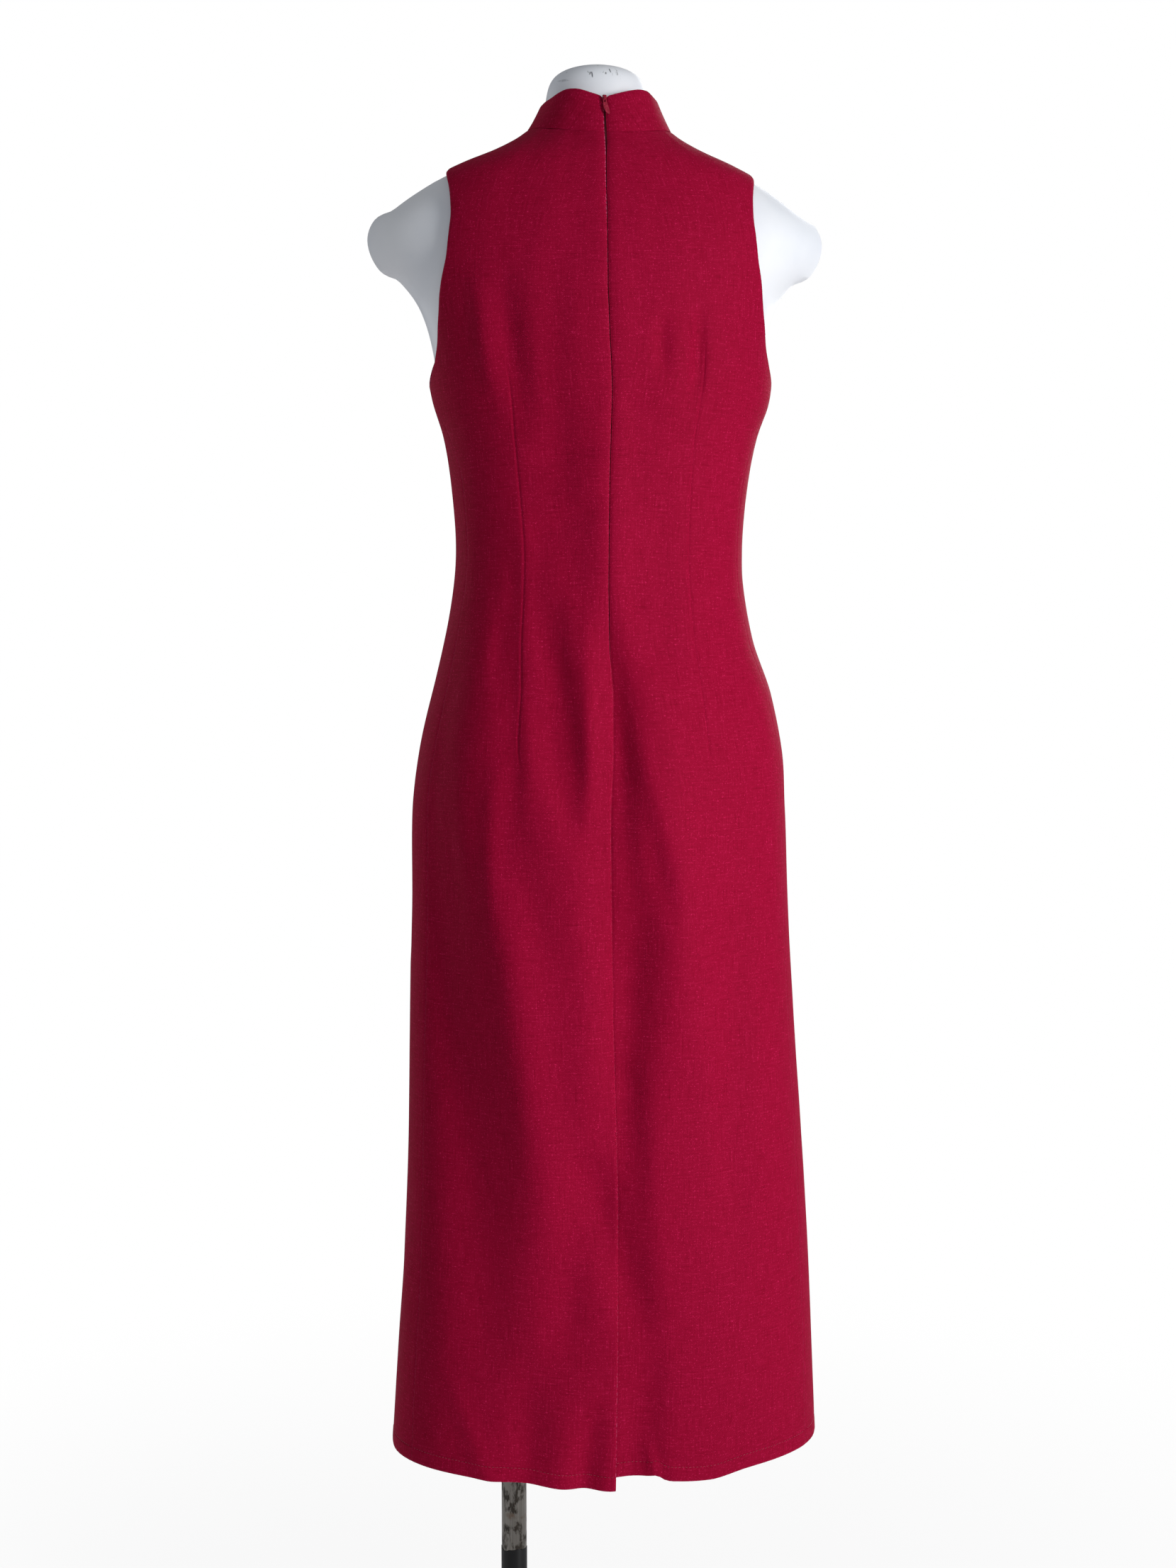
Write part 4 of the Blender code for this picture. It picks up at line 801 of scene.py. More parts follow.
def collar_half(side, material):
    """Half the collar, from centre back to centre front, its upper corners rounded."""
    around = np.linspace(0.0, 180.0, 361)
    ring = collar_point(side * around, np.full(around.shape, 0.5))
    lengths = np.concatenate([[0.0], np.cumsum(np.linalg.norm(np.diff(ring, axis=0), axis=1))])
    total = lengths[-1]
    corner = COLLAR_CORNER * (1.0 - np.cos(np.linspace(0.0, 0.5 * math.pi, 10)))
    count = int((total - 2 * COLLAR_CORNER) / COLLAR_COLUMN_STEP)
    middle = np.linspace(COLLAR_CORNER, total - COLLAR_CORNER, count)[1:-1]
    places = np.concatenate([corner, middle, total - corner[::-1]])
    spare = 0.5 * (COLLAR_BACK_GAP + SEAM_GAP)
    between_gaps = 0.5 * COLLAR_BACK_GAP + places * (total - spare) / total
    angles = side * np.interp(between_gaps, lengths, around)
    cut = np.clip(1.0 - np.minimum(places, total - places) / COLLAR_CORNER, 0.0, 1.0)
    tall = collar_place("top", angles) - neck_level(angles)
    top_share = 1.0 - COLLAR_CORNER * (1.0 - np.sqrt(1.0 - cut * cut)) / tall
    steps = line_columns(0.033, 0.0021) / 0.033
    share = steps[:, None] * top_share[None, :]
    angles = np.broadcast_to(angles, share.shape)
    base = collar_point(angles, share)
    level = base.copy()
    level[..., 0] -= along(SECTIONS, "shift", NECK_SIDE)
    level[..., 2] = 0.0
    level /= np.linalg.norm(level, axis=-1, keepdims=True)
    tilted = level.copy()
    tilted[..., 2] = COLLAR_INNER_TILT
    tilted /= np.linalg.norm(tilted, axis=-1, keepdims=True)
    above_seam = np.clip(share * 4.0, 0.0, 1.0)[..., None]
    out = level + (tilted - level) * above_seam
    to_back = distance_to(base[:, 0], base)
    to_front = distance_to(base[:, -1], base)
    to_top = distance_to(base[-1], base)
    roll = EDGE_ROLL * (beside(to_back, EDGE_ROLL_REACH) + beside(to_front, EDGE_ROLL_REACH))
    roll += EDGE_ROLL * beside(to_top, EDGE_ROLL_REACH) + SEWN_ROLL * beside(share * 0.033, SEWN_ROLL_REACH)
    roll -= LIP_RISE * (1.0 - beside(to_back, LIP_REACH)) * beside(to_back, LIP_FADE)
    roll -= 0.00035 * lattice_noise(angles, base[..., 2], Ripple(30, 0.016, 0.0, 31))
    if side > 0:
        roll -= OVER_LIP * beside(to_back, LIP_REACH)
    outer = base - out * roll[..., None]
    inner = base - out * (COLLAR_WALL + 0.5 * np.minimum(roll, 0.0))[..., None]
    tucks = [outer[:1] - level[:1] * inwards + np.array([0.0, 0.0, drop]) for drop, inwards in COLLAR_TUCK]
    inner_tucks = [tuck - level[:1] * 0.0006 for tuck in tucks]
    outer = np.concatenate(tucks + [outer])
    inner = np.concatenate(inner_tucks + [inner])
    # Edges lightened by wear; the left half's back edge also by a painted highlight, where the lip catches the light
    wear_and_highlight = 0.5 * beside(np.minimum(to_top, to_front), WEAR_AND_HIGHLIGHT_REACH) + (side > 0) * beside(to_back, WEAR_AND_HIGHLIGHT_REACH)
    wear_and_highlight = np.concatenate([np.zeros((len(tucks), wear_and_highlight.shape[1])), wear_and_highlight])
    name = "collar_left_cloth" if side > 0 else "collar_right_cloth"
    return cloth_piece(name, outer, inner, wear_and_highlight, material)


def many_threads(name, places, runs, outs, length, radius, material):
    """Short stitches of thread: each lies along its run, half sunk in the cloth."""
    sides = 6
    shares = np.array([-0.5, -0.36, 0.0, 0.36, 0.5])
    swell = np.array([0.25, 0.85, 1.0, 0.85, 0.25])
    lift = np.array([-0.6, 0.1, 0.45, 0.1, -0.6])
    turn = np.arange(sides) * 2.0 * math.pi / sides
    acrosses = np.cross(runs, outs)
    points = []
    for share, grown, high in zip(shares, swell, lift):
        centre = places + runs * (share * length) + outs * (high * radius)
        for angle in turn:
            offset = acrosses * math.cos(angle) + outs * math.sin(angle)
            points.append(centre + offset * (radius * grown))
    points = np.stack(points, axis=1)
    each = points.shape[1]
    faces = []
    for ring in range(len(shares) - 1):
        for j in range(sides):
            k = (j + 1) % sides
            faces.append((ring * sides + j, ring * sides + k, (ring + 1) * sides + k, (ring + 1) * sides + j))
    faces = np.array(faces)
    caps = [tuple(range(sides - 1, -1, -1)), tuple((len(shares) - 1) * sides + j for j in range(sides))]
    everything = []
    for i in range(len(places)):
        everything += (faces + i * each).tolist()
        everything += [[i * each + k for k in cap] for cap in caps]
    mesh = bpy.data.meshes.new(name)
    mesh.from_pydata(points.reshape(-1, 3).tolist(), [], everything)
    shape = bmesh.new()
    shape.from_mesh(mesh)
    bmesh.ops.recalc_face_normals(shape, faces=shape.faces)
    shape.to_mesh(mesh)
    shape.free()
    mesh.shade_smooth()
    mesh.materials.append(material)
    piece = bpy.data.objects.new(name, mesh)
    bpy.context.scene.collection.objects.link(piece)
    return piece


def stitches(name, angle, height, side, material):
    """Row of stitches along a path on the dress, given as its angles and heights."""
    steps = np.linspace(0.0, 1.0, 1500)
    marks = np.linspace(0.0, 1.0, len(angle))
    angle = np.interp(steps, marks, angle)
    height = np.interp(steps, marks, height)
    path = dress_point(angle, height)
    lengths = np.concatenate([[0.0], np.cumsum(np.linalg.norm(np.diff(path, axis=0), axis=1))])
    places = np.arange(0.5 * STITCH_PITCH, lengths[-1], STITCH_PITCH)
    ahead = np.stack([np.interp(places + 0.0004, lengths, path[:, k]) for k in range(3)], axis=1)
    behind = np.stack([np.interp(places - 0.0004, lengths, path[:, k]) for k in range(3)], axis=1)
    angle = np.interp(places, lengths, angle)
    height = np.interp(places, lengths, height)
    out = outward(dress_point, angle, height)
    drop = ripple_depth(angle, height) + crease_depth(angle, height)
    drop += STITCH_SINK - under_step(side, angle, height)
    run = ahead - behind
    run -= out * np.sum(run * out, axis=1)[:, None]
    run /= np.linalg.norm(run, axis=1)[:, None]
    here = dress_point(angle, height) + out * drop[:, None]
    return many_threads(name, here, run, out, STITCH_LENGTH, STITCH_RADIUS, material)


def hem_stitches(name, start_angle, end_angle, side, material):
    angle = np.linspace(start_angle, end_angle, 400)
    return stitches(name, angle, hem_level(angle) + HEM_DEPTH, side, material)


class Number:
    """A value that varies over a surface; expressions on it add Math nodes."""

    def __init__(self, graph, socket):
        self.graph = graph
        self.socket = socket

    def math(self, operation, *others):
        values = dict(enumerate((self,) + others))
        return self.graph.add("ShaderNodeMath", {"operation": operation}, values)

    def __add__(self, other):
        return self.math("ADD", other)

    def __radd__(self, other):
        return self.math("ADD", other)

    def __sub__(self, other):
        return self.math("SUBTRACT", other)

    def __rsub__(self, other):
        return self.graph.add("ShaderNodeMath", {"operation": "SUBTRACT"}, {0: other, 1: self})

    def __mul__(self, other):
        return self.math("MULTIPLY", other)

    def __rmul__(self, other):
        return self.math("MULTIPLY", other)

    def clamped(self):
        return self.graph.add("ShaderNodeClamp", {}, {"Value": self})

    def between(self, low, high):
        """0 below low, 1 above high, and smooth between them."""
        values = {"Value": self, "From Min": low, "From Max": high}
        return self.graph.add("ShaderNodeMapRange", {"interpolation_type": "SMOOTHSTEP"}, values)


class Graph:
    """Node tree of one material, with a Principled shader for its finish."""

    def __init__(self, name, **constants):
        self.material = bpy.data.materials.new(name)
        self.material.use_nodes = True
        self.tree = self.material.node_tree
        self.shader = self.tree.nodes["Principled BSDF"]
        for socket, value in constants.items():
            self.shader.inputs[socket.replace("_", " ")].default_value = value

    def add(self, kind, settings, values, output=0):
        node = self.tree.nodes.new(kind)
        for key, value in settings.items():
            setattr(node, key, value)
        for key, value in values.items():
            if isinstance(value, Number):
                self.tree.links.new(value.socket, node.inputs[key])
            else:
                node.inputs[key].default_value = value
        return Number(self, node.outputs[output])

    def feed(self, socket, value):
        self.tree.links.new(value.socket, self.shader.inputs[socket])

    def parts(self, vector):
        return [self.add("ShaderNodeSeparateXYZ", {}, {0: vector}, k) for k in range(3)]

    def vector(self, x, y, z):
        return self.add("ShaderNodeCombineXYZ", {}, {0: x, 1: y, 2: z})

    def stretched(self, vector, scale):
        return self.add("ShaderNodeVectorMath", {"operation": "MULTIPLY"}, {0: vector, 1: scale})

    def noise(self, vector, scale=1.0, detail=2.0, roughness=0.5):
        values = {"Vector": vector, "Scale": scale, "Detail": detail, "Roughness": roughness}
        return self.add("ShaderNodeTexNoise", {}, values)

    def mix(self, share, first, second):
        values = {0: share, 6: first, 7: second}
        return self.add("ShaderNodeMix", {"data_type": "RGBA"}, values, 2)

    def bump(self, height, strength):
        values = {"Height": height, "Strength": strength, "Distance": 1.0}
        self.feed("Normal", self.add("ShaderNodeBump", {}, values))


def cloth_finish(name, dark, mid, light, edge, sheen):
    """Plain weave with slubs in both directions, from the cut's own map, with painted highlight as bright glinting
    specks of yarn sheen; its edges are lightened by wear, and along the centre back's lip also by a painted highlight.
    """
    graph = Graph(
        name,
        Specular_IOR_Level=0.022,
        Sheen_Weight=sheen,
        Sheen_Roughness=0.35,
        Sheen_Tint=(1.0, 0.03, 0.16, 1.0),
    )
    cut = graph.add("ShaderNodeUVMap", {"uv_map": CUT_MAP}, {})
    waver = graph.noise(cut, scale=90.0, detail=1.0)
    u, v, _ = graph.parts(cut)
    u = u + waver * 0.0006
    v = v + waver * 0.0006
    warp = (u * (math.pi / THREAD_PITCH)).math("SINE")
    weft = (v * (math.pi / THREAD_PITCH)).math("SINE")
    crossing = warp * weft
    weave = crossing.math("ABSOLUTE").math("SQRT")
    flat = graph.vector(u, v, 0.0)
    long_weft = graph.noise(graph.stretched(flat, (55.0, 760.0, 1.0)), detail=2.0)
    long_warp = graph.noise(graph.stretched(flat, (760.0, 48.0, 1.0)), detail=2.0)
    short_slub = graph.noise(graph.stretched(flat, (190.0, 820.0, 1.0)), detail=1.0)
    # Painted highlight: bright glinting specks of yarn sheen, put into the base colour
    painted_glints = graph.noise(graph.stretched(flat, (620.0, 620.0, 1.0)), detail=2.0)
    slubs = long_weft.between(0.54, 0.78) * 0.5 + long_warp.between(0.54, 0.78) * 0.5
    slubs = slubs + short_slub.between(0.58, 0.80) * 0.5
    thin = long_weft.between(0.46, 0.26) * 0.5 + long_warp.between(0.46, 0.26) * 0.5
    cloudy = graph.noise(cut, scale=9.0, detail=4.0)
    tone = 0.43 + crossing * 0.20 + slubs * 0.25 + (cloudy - 0.5) * 0.07 - thin * 0.22
    # The painted glinting specks lighten the tone towards the light colour
    tone = tone + painted_glints.between(0.56, 0.74) * 0.36
    lower = graph.mix((tone * 2.0).clamped(), (*dark, 1.0), (*mid, 1.0))
    colour = graph.mix(((tone - 0.5) * 2.0).clamped(), lower, (*light, 1.0))
    # Edges lightened in specks, by wear and along the centre back's lip by a painted highlight
    wear_and_highlight = graph.add("ShaderNodeAttribute", {"attribute_name": WEAR_AND_HIGHLIGHT_ATTRIBUTE}, {}, 2)
    edge_specks = graph.noise(graph.stretched(flat, (420.0, 420.0, 1.0)), detail=2.0).between(0.46, 0.58)
    graph.feed("Base Color", graph.mix((wear_and_highlight * edge_specks * 0.75).clamped(), colour, (*edge, 1.0)))
    graph.feed("Roughness", 0.64 - slubs * 0.12 + (cloudy - 0.5) * 0.06)
    graph.bump(weave * 0.00010 + slubs * 0.00016 + crossing * 0.00003, 0.6)
    return graph.material


def thread_finish():
    graph = Graph("stitch_thread", Sheen_Weight=0.3, Sheen_Tint=(1.0, 0.4, 0.5, 1.0))
    place = graph.add("ShaderNodeTexCoord", {}, {}, 3)
    fuzz = graph.noise(place, scale=3500.0, detail=1.0)
    graph.feed("Base Color", graph.mix(fuzz, (0.22, 0.006, 0.026, 1.0), (0.44, 0.030, 0.075, 1.0)))
    graph.feed("Roughness", 0.45 + fuzz * 0.2)
    return graph.material


def tape_finish():
    graph = Graph("zip_tape_weave", Sheen_Weight=0.15)
    x, y, z = graph.parts(graph.add("ShaderNodeTexCoord", {}, {}, 3))
    ribs = (z * (math.pi / 0.00045)).math("SINE").math("ABSOLUTE")
    fuzz = graph.noise(graph.vector(x * 2500.0, y * 2500.0, z * 300.0), detail=2.0)
    graph.feed("Base Color", graph.mix(ribs * 0.6 + fuzz * 0.4, (0.10, 0.003, 0.012, 1.0), (0.26, 0.008, 0.030, 1.0)))
    graph.feed("Roughness", 0.5 + fuzz * 0.2)
    graph.bump(ribs * 0.00005, 0.5)
    return graph.material


def lacquer_finish():
    """Red lacquer on the zip's metal, rubbed darker and shinier in places."""
    graph = Graph("zip_lacquer", Metallic=0.1, Coat_Weight=0.25, Coat_Roughness=0.22)
    place = graph.add("ShaderNodeTexCoord", {}, {}, 3)
    rubbed = graph.noise(place, scale=700.0, detail=3.0)
    graph.feed("Base Color", graph.mix(rubbed.between(0.4, 0.7), (0.30, 0.005, 0.026, 1.0), (0.52, 0.020, 0.070, 1.0)))
    graph.feed("Roughness", 0.28 + rubbed * 0.2)
    graph.bump(rubbed * 0.00003, 0.4)
    return graph.material


def stroke(graph, place, mark):
    """1 along a short scratch, falling to 0 beside it, on the figure's back."""
    x, y, z = place
    rise = z - mark.height
    aside = (x - rise * mark.lean - mark.x).math("ABSOLUTE")
    along_it = rise.math("ABSOLUTE")
    return aside.between(mark.width, 0.3 * mark.width) * along_it.between(mark.length, 0.5 * mark.length) * mark.strength


def shell_finish():
    """White satin shell with grey scuffs, most of them at the top of the neck."""
    graph = Graph("form_white", Specular_IOR_Level=0.45)
    place = graph.add("ShaderNodeTexCoord", {}, {}, 3)
    x, y, z = graph.parts(place)
    cloudy = graph.noise(place, scale=9.0, detail=4.0)
    strokes = graph.noise(graph.stretched(place, (420.0, 420.0, 70.0)), detail=3.0)
    level_strokes = graph.noise(graph.stretched(place, (60.0, 60.0, 520.0)), detail=3.0)
    patches = graph.noise(place, scale=26.0, detail=2.0)
    neck = z.between(1.452, 1.474) * patches.between(0.44, 0.58)
    trunk = graph.noise(place, scale=13.0, detail=2.0).between(0.60, 0.70)
    marks = sum((stroke(graph, (x, y, z), mark) for mark in NECK_MARKS), strokes.between(0.60, 0.68) * neck * 0.5)
    broken = graph.noise(graph.stretched(place, (900.0, 900.0, 300.0)), detail=2.0).between(0.30, 0.46)
    scuffs = marks * broken * y.between(0.0, 0.012)
    scuffs = scuffs + level_strokes.between(0.66, 0.72) * trunk * 0.5
    scuffs = scuffs + strokes.between(0.68, 0.74) * trunk * 0.45
    white = graph.mix(cloudy.between(0.35, 0.7), (0.78, 0.81, 0.87, 1.0), (0.88, 0.895, 0.93, 1.0))
    graph.feed("Base Color", graph.mix(scuffs.clamped(), white, (0.09, 0.095, 0.11, 1.0)))
    graph.feed("Roughness", 0.38 + cloudy * 0.16 + scuffs * 0.2)
    fine = graph.noise(place, scale=240.0, detail=3.0)
    graph.bump(fine * 0.00012 - scuffs * 0.00008, 0.5)
    return graph.material


def steel_finish():
    """Bare steel tube, brown and grey with stains."""
    graph = Graph("stained_steel")
    place = graph.add("ShaderNodeTexCoord", {}, {}, 3)
    lines = graph.noise(graph.stretched(place, (900.0, 900.0, 14.0)), detail=3.0)
    blots = graph.noise(graph.stretched(place, (110.0, 110.0, 45.0)), detail=5.0, roughness=0.65)
    rust = graph.noise(graph.stretched(place, (60.0, 60.0, 90.0)), detail=4.0)
    bare = graph.mix(lines, (0.12, 0.108, 0.095, 1.0), (0.36, 0.34, 0.31, 1.0))
    stained = graph.mix(blots.between(0.47, 0.58), bare, (0.035, 0.027, 0.020, 1.0))
    graph.feed("Base Color", graph.mix(rust.between(0.60, 0.75) * 0.6, stained, (0.13, 0.07, 0.035, 1.0)))
    graph.feed("Metallic", 0.9 - blots.between(0.50, 0.62) * 0.6)
    graph.feed("Roughness", 0.30 + lines * 0.15 + blots.between(0.45, 0.65) * 0.3)
    graph.bump(lines * 0.00004 + blots * 0.0001, 0.5)
    return graph.material


def black_finish():
    """Satin black paint, dusty in places, with a fine grain."""
    graph = Graph("black_satin", Specular_IOR_Level=0.3)
    place = graph.add("ShaderNodeTexCoord", {}, {}, 3)
    grain = graph.noise(place, scale=900.0, detail=2.0)
    dust = graph.noise(place, scale=22.0, detail=5.0).between(0.5, 0.75)
    graph.feed("Base Color", graph.mix(dust * 0.35, (0.006, 0.006, 0.007, 1.0), (0.035, 0.033, 0.031, 1.0)))
    graph.feed("Roughness", 0.40 + dust * 0.25 + grain * 0.06)
    graph.bump(grain * 0.00006, 0.5)
    return graph.material


def floor_finish():
    """Plain pale floor that fades into the white surroundings away from the figure."""
    graph = Graph("pale_floor", Specular_IOR_Level=0.2)
    place = graph.add("ShaderNodeTexCoord", {}, {}, 3)
    cloudy = graph.noise(place, scale=2.0, detail=3.0)
    graph.feed("Base Color", graph.mix(cloudy, (0.86, 0.86, 0.865, 1.0), (0.90, 0.90, 0.90, 1.0)))
    graph.feed("Roughness", 0.65 + cloudy * 0.1)
    away = graph.add("ShaderNodeVectorMath", {"operation": "LENGTH"}, {0: place}, 1)
    seen = graph.add("ShaderNodeLightPath", {}, {}, 0)
    share = seen * (FLOOR_GLOW + away.between(*FLOOR_FADE) * (1.0 - FLOOR_GLOW))
    white = graph.add("ShaderNodeEmission", {}, {"Color": (1.0, 1.0, 1.0, 1.0), "Strength": 1.0})
    finish = Number(graph, graph.shader.outputs[0])
    both = graph.add("ShaderNodeMixShader", {}, {0: share, 1: finish, 2: white})
    out = graph.tree.nodes["Material Output"]
    graph.tree.links.new(both.socket, out.inputs["Surface"])
    return graph.material


def repaint(piece, material):
    piece.data.materials.clear()
    piece.data.materials.append(material)


def copy_of_node(node, name, material):
    """Copy of a CAD node as a piece of its own, its doubled corners merged."""
    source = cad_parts[node]
    piece = bpy.data.objects.new(name, source.data.copy())
    bpy.context.scene.collection.objects.link(piece)
    repaint(piece, material)
    bpy.ops.object.select_all(action="DESELECT")
    bpy.context.view_layer.objects.active = piece
    piece.select_set(True)
    bpy.ops.object.mode_set(mode="EDIT")
    bpy.ops.mesh.select_all(action="SELECT")
    bpy.ops.mesh.remove_doubles(threshold=0.000005)
    bpy.ops.mesh.customdata_custom_splitnormals_clear()
    bpy.ops.object.mode_set(mode="OBJECT")
    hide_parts(node)
    return piece


def apply_modifiers(piece):
    bpy.ops.object.select_all(action="DESELECT")
    bpy.context.view_layer.objects.active = piece
    piece.select_set(True)
    for modifier in list(piece.modifiers):
        bpy.ops.object.modifier_apply(modifier=modifier.name)


def smooth_form(material):
    """Dress form from its CAD node, its facets rounded off."""
    form = copy_of_node("dress_form", "form_shell", material)
    bpy.ops.object.mode_set(mode="EDIT")
    bpy.ops.mesh.select_all(action="SELECT")
    bpy.ops.mesh.tris_convert_to_quads(face_threshold=math.radians(60), shape_threshold=math.radians(60))
    bpy.ops.mesh.select_all(action="DESELECT")
    bpy.ops.mesh.edges_select_sharp(sharpness=math.radians(60))
    bpy.ops.transform.edge_crease(value=1.0)
    bpy.ops.object.mode_set(mode="OBJECT")
    smoothed = form.modifiers.new("round_off", "SUBSURF")
    smoothed.levels = 2
    smoothed.render_levels = 2
    apply_modifiers(form)
    form.data.shade_smooth()
    form.data.set_sharp_from_angle(angle=math.radians(50.0))
    return form


def small_fitting(node, name, bevel, material):
    """Zip fitting from its CAD node, with its edges rounded."""
    piece = copy_of_node(node, name, material)
    bpy.ops.object.mode_set(mode="EDIT")
    bpy.ops.mesh.select_all(action="SELECT")
    bpy.ops.mesh.dissolve_limited(angle_limit=math.radians(2.0))
    bpy.ops.object.mode_set(mode="OBJECT")
    rounded = piece.modifiers.new("edges", "BEVEL")
    rounded.width = bevel
    rounded.segments = 3
    rounded.limit_method = "ANGLE"
    rounded.angle_limit = math.radians(35.0)
    apply_modifiers(piece)
    piece.data.shade_smooth()
    piece.data.set_sharp_from_angle(angle=math.radians(40.0))
    return piece


def turned_cylinder(name, radius, low, high, place, bevel, sides, material):
    """Round bar or plate between two heights, its edges rounded."""
    bpy.ops.object.select_all(action="DESELECT")
    bpy.ops.mesh.primitive_cylinder_add(
        vertices=sides,
        radius=radius,
        depth=high - low,
        location=(place[0], place[1], 0.5 * (low + high)),
    )
    piece = bpy.context.object
    piece.name = name
    piece.data.name = name
    bpy.ops.object.transform_apply(location=True, rotation=True, scale=True)
    rounded = piece.modifiers.new("edges", "BEVEL")
    rounded.width = bevel
    rounded.segments = 3
    rounded.limit_method = "ANGLE"
    rounded.angle_limit = math.radians(60.0)
    apply_modifiers(piece)
    piece.data.shade_smooth()
    piece.data.set_sharp_from_angle(angle=math.radians(40.0))
    repaint(piece, material)
    return piece


def wrapped_sleeve(material):
    """Black lower length of the pole, its wrapping torn unevenly at the top."""
    low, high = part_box("pole_sleeve")
    radius = 0.5 * (high.x - low.x)
    sleeve = turned_cylinder("pole_black_sleeve", radius, low.z, high.z, (POLE_X, 0.0), 0.0003, 96, material)
    bpy.ops.object.mode_set(mode="EDIT")
    shape = bmesh.from_edit_mesh(sleeve.data)
    torn = Ripple(17, 1.0, 0.0, 41)
    for corner in shape.verts:
        if corner.co.z > high.z - 0.0005:
            angle = math.degrees(math.atan2(corner.co.y, corner.co.x - POLE_X))
            corner.co.z -= 0.0048 * (0.5 + 0.5 * float(lattice_noise(angle, 0.5, torn)))
    bmesh.update_edit_mesh(sleeve.data)
    bpy.ops.object.mode_set(mode="OBJECT")
    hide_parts("pole_sleeve")
    return sleeve


def hub_ring(material):
    """Collar that holds the pole on the base."""
    low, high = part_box("base_hub")
    hub = turned_cylinder("base_hub_ring", 0.5 * (high.x - low.x), low.z, high.z, (POLE_X, 0.0), 0.0060, 96, material)
    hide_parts("base_hub")
    return hub


def base_disc(material):
    low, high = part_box("base_plate")
    disc = turned_cylinder("base_disc", BASE_RADIUS, low.z, high.z, (0.0, 0.0), 0.0018, 192, material)
    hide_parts("base_plate")
    return disc


def steel_tube(material):
    low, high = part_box("pole_steel")
    radius = 0.5 * (high.x - low.x)
    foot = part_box("pole_sleeve")[1].z - 0.006
    tube = turned_cylinder("pole_tube", radius, foot, high.z, (POLE_X, 0.0), 0.0003, 96, material)
    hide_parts("pole_steel")
    return tube


def zip_coil(material):
    """Teeth of the closed zip, on the outer side of its tape."""
    low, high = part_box("zip_tape")
    heights = np.arange(low.z + 0.004, NECK_BACK - 0.004, ZIP_TOOTH_PITCH)
    behind = CLOTH_WALL + 0.0009 - 0.5 * ZIP_TOOTH[1]
    out = outward(dress_point, 0.0 * heights, heights)
    here = dress_point(0.0 * heights, heights) - out * behind
    across = np.tile([1.0, 0.0, 0.0], (len(heights), 1))
    return many_threads("zip_coil", here, across, out, ZIP_TOOTH[0], 0.5 * ZIP_TOOTH[1], material)


def soft_box(name, place, target, size, watts, spread=180.0):
    light = bpy.data.lights.new(name, "AREA")
    light.shape = "RECTANGLE"
    light.size = size[0]
    light.size_y = size[1]
    light.energy = watts
    light.spread = math.radians(spread)
    lamp = bpy.data.objects.new(name, light)
    bpy.context.scene.collection.objects.link(lamp)
    lamp.location = place
    lamp.rotation_mode = "QUATERNION"
    lamp.rotation_quaternion = (Vector(target) - Vector(place)).to_track_quat("-Z", "Y")
    return lamp


def set_camera():
    lens = bpy.data.cameras.new("camera")
    lens.sensor_width = SENSOR
    lens.lens = SENSOR * FOCAL_PIXELS / PHOTO_LONG_SIDE
    camera = bpy.data.objects.new("camera", lens)
    bpy.context.scene.collection.objects.link(camera)
    camera.location = CAMERA_PLACE
    turn = math.radians(CAMERA_TURN)
    tilt = math.radians(CAMERA_TILT)
    ahead = Vector((-math.sin(turn) * math.cos(tilt), -math.cos(turn) * math.cos(tilt), -math.sin(tilt)))
    camera.rotation_mode = "QUATERNION"
    camera.rotation_quaternion = ahead.to_track_quat("-Z", "Y")
    bpy.context.scene.camera = camera


def set_studio():
    """Pale floor, white surroundings and soft light, the strongest from the wearer's right."""
    bpy.ops.object.select_all(action="DESELECT")
    bpy.ops.mesh.primitive_plane_add(size=14.0, location=(0.0, 0.0, 0.0))
    floor = bpy.context.object
    floor.name = "studio_floor"
    repaint(floor, floor_finish())
    world = bpy.data.worlds.new("studio")
    world.use_nodes = True
    bpy.context.scene.world = world
    tree = world.node_tree
    tree.nodes.clear()
    seen = tree.nodes.new("ShaderNodeBackground")
    seen.inputs[0].default_value = (1.0, 1.0, 1.0, 1.0)
    seen.inputs[1].default_value = 1.0
    lit = tree.nodes.new("ShaderNodeBackground")
    lit.inputs[0].default_value = (0.93, 0.96, 1.0, 1.0)
    lit.inputs[1].default_value = 0.27
    ray = tree.nodes.new("ShaderNodeLightPath")
    choice = tree.nodes.new("ShaderNodeMixShader")
    out = tree.nodes.new("ShaderNodeOutputWorld")
    tree.links.new(ray.outputs["Is Camera Ray"], choice.inputs[0])
    tree.links.new(lit.outputs[0], choice.inputs[1])
    tree.links.new(seen.outputs[0], choice.inputs[2])
    tree.links.new(choice.outputs[0], out.inputs[0])
    soft_box("key", (-1.85, 1.85, 1.20), (0.0, 0.0, 0.84), (0.8, 1.3), 10.2, 70.0)
    soft_box("fill", (1.6, 2.4, 1.6), (0.0, 0.0, 1.0), (1.6, 1.6), 4.5)
    soft_box("front_key", (-1.4, -2.6, 1.9), (0.0, 0.0, 0.8), (1.6, 2.0), 42.0)
    soft_box("front_fill", (2.2, -1.8, 1.5), (0.0, 0.0, 0.8), (1.4, 1.8), 12.0)
    bpy.context.scene.view_settings.view_transform = "Standard"


def ride_with(pieces, body):
    for piece in pieces:
        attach(piece, body)


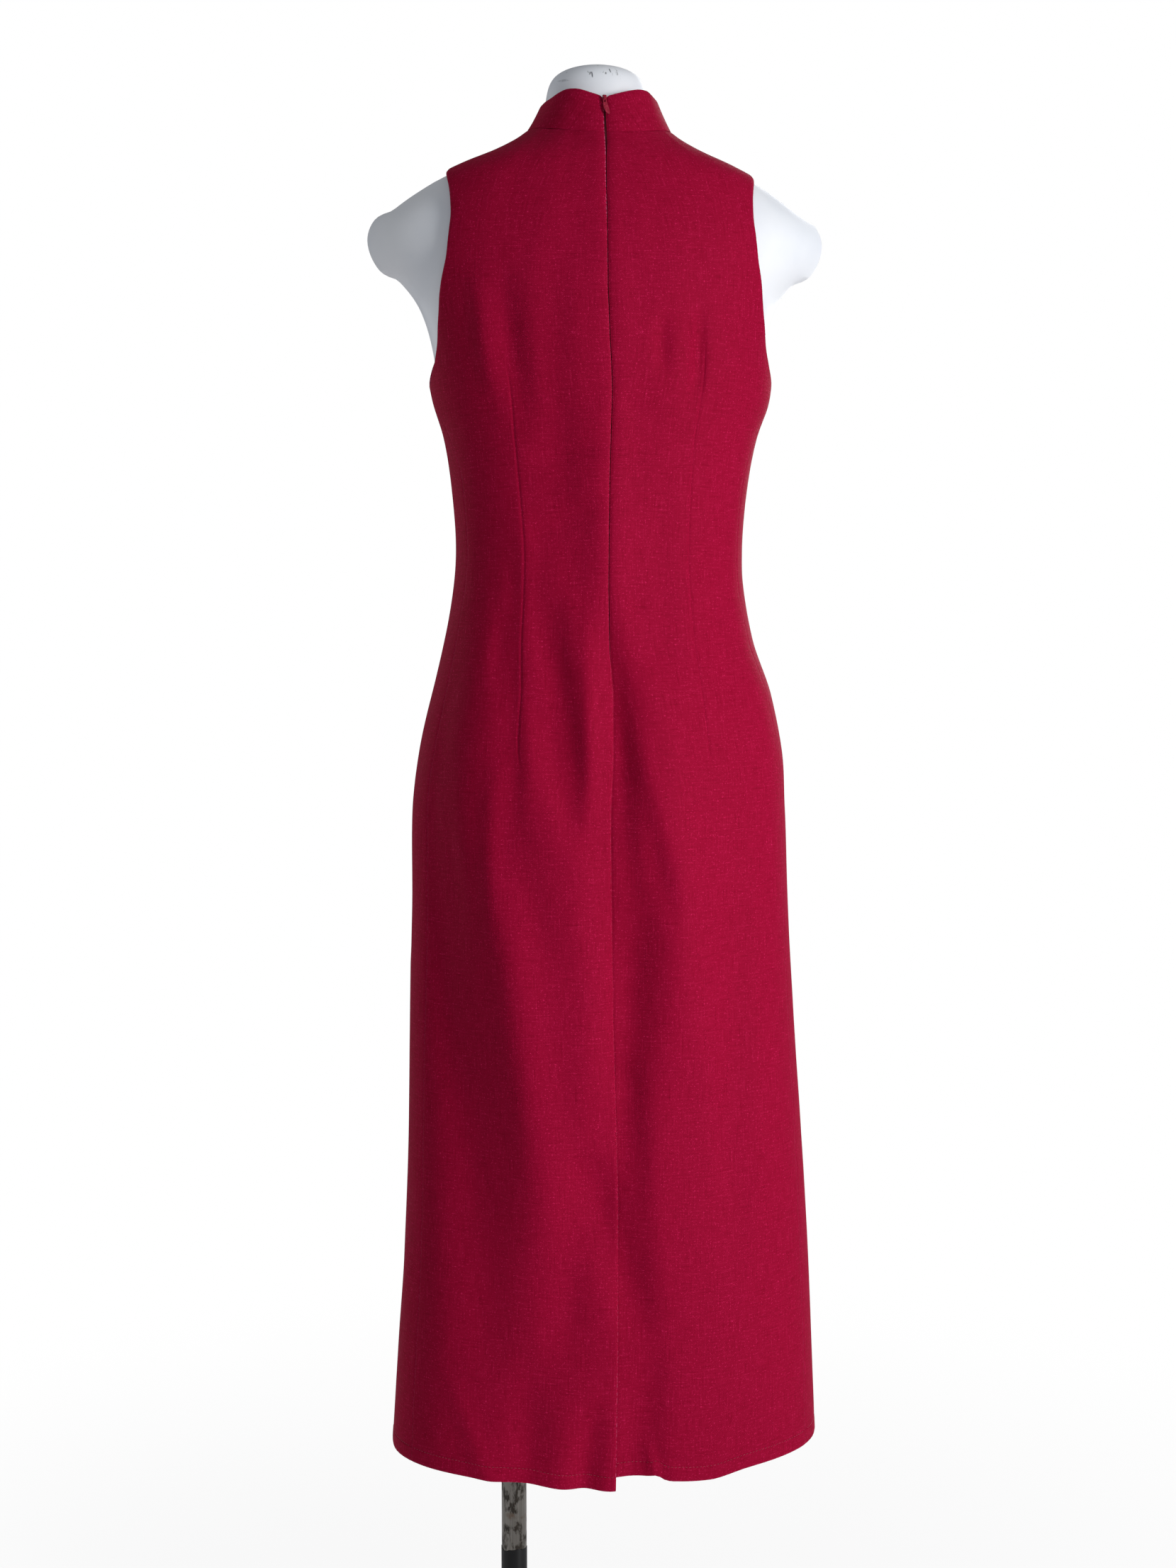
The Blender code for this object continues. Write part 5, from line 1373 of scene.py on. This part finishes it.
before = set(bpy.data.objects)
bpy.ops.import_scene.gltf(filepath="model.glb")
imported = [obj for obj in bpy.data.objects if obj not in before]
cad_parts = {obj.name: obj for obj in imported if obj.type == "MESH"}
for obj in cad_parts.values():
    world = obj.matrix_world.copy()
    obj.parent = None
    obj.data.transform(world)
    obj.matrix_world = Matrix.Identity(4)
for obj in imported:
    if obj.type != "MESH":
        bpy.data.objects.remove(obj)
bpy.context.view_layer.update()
set_camera()
set_studio()

crimson = cloth_finish(
    "crimson_weave",
    dark=(0.155, 0.0016, 0.0115),
    mid=(0.320, 0.0026, 0.0300),
    # light: colour of lighter slubs, and of the painted glinting specks of yarn sheen
    light=(0.640, 0.0190, 0.1100),
    # edge: colour of edges lightened by wear, and of the painted highlight along the centre back's lip
    edge=(0.640, 0.1200, 0.2600),
    sheen=0.08,
)
thread = thread_finish()
front = front_panel(crimson)
back_left = back_panel(+1, DART_LEFT, crimson)
back_right = back_panel(-1, DART_RIGHT, crimson)
collar_left = collar_half(+1, crimson)
collar_right = collar_half(-1, crimson)
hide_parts("front_panel")
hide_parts("back_panel_left")
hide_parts("back_panel_right")
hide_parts("collar_left")
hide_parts("collar_right")
ride_with((front, back_left, back_right, collar_left, collar_right), BODY)

front_hem = hem_stitches("hem_stitches_front", 75.0, 285.0, 0, thread)
left_hem = hem_stitches("hem_stitches_back_left", 1.0, 73.0, 0, thread)
right_hem = hem_stitches("hem_stitches_back_right", -73.0, -0.5, -1, thread)
facing_end = stitches("facing_stitches", *FACING_END, 0, thread)
ride_with((front_hem, left_hem, right_hem, facing_end), BODY)

tape_weave = tape_finish()
repaint(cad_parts["zip_tape"], tape_weave)
coil = zip_coil(tape_weave)
lacquer = lacquer_finish()
slider = small_fitting("zip_slider", "zip_slider_body", 0.00012, lacquer)
pull = small_fitting("zip_pull", "zip_pull_tab", 0.00022, lacquer)
ride_with((coil,), BODY)
ride_with((slider,), BODY)
ride_with((pull,), PULL_BODY)

form = smooth_form(shell_finish())
ride_with((form,), BODY)
tube = steel_tube(steel_finish())
ride_with((tube,), BODY)
black = black_finish()
ride_with((wrapped_sleeve(black), hub_ring(black), base_disc(black)), BODY)
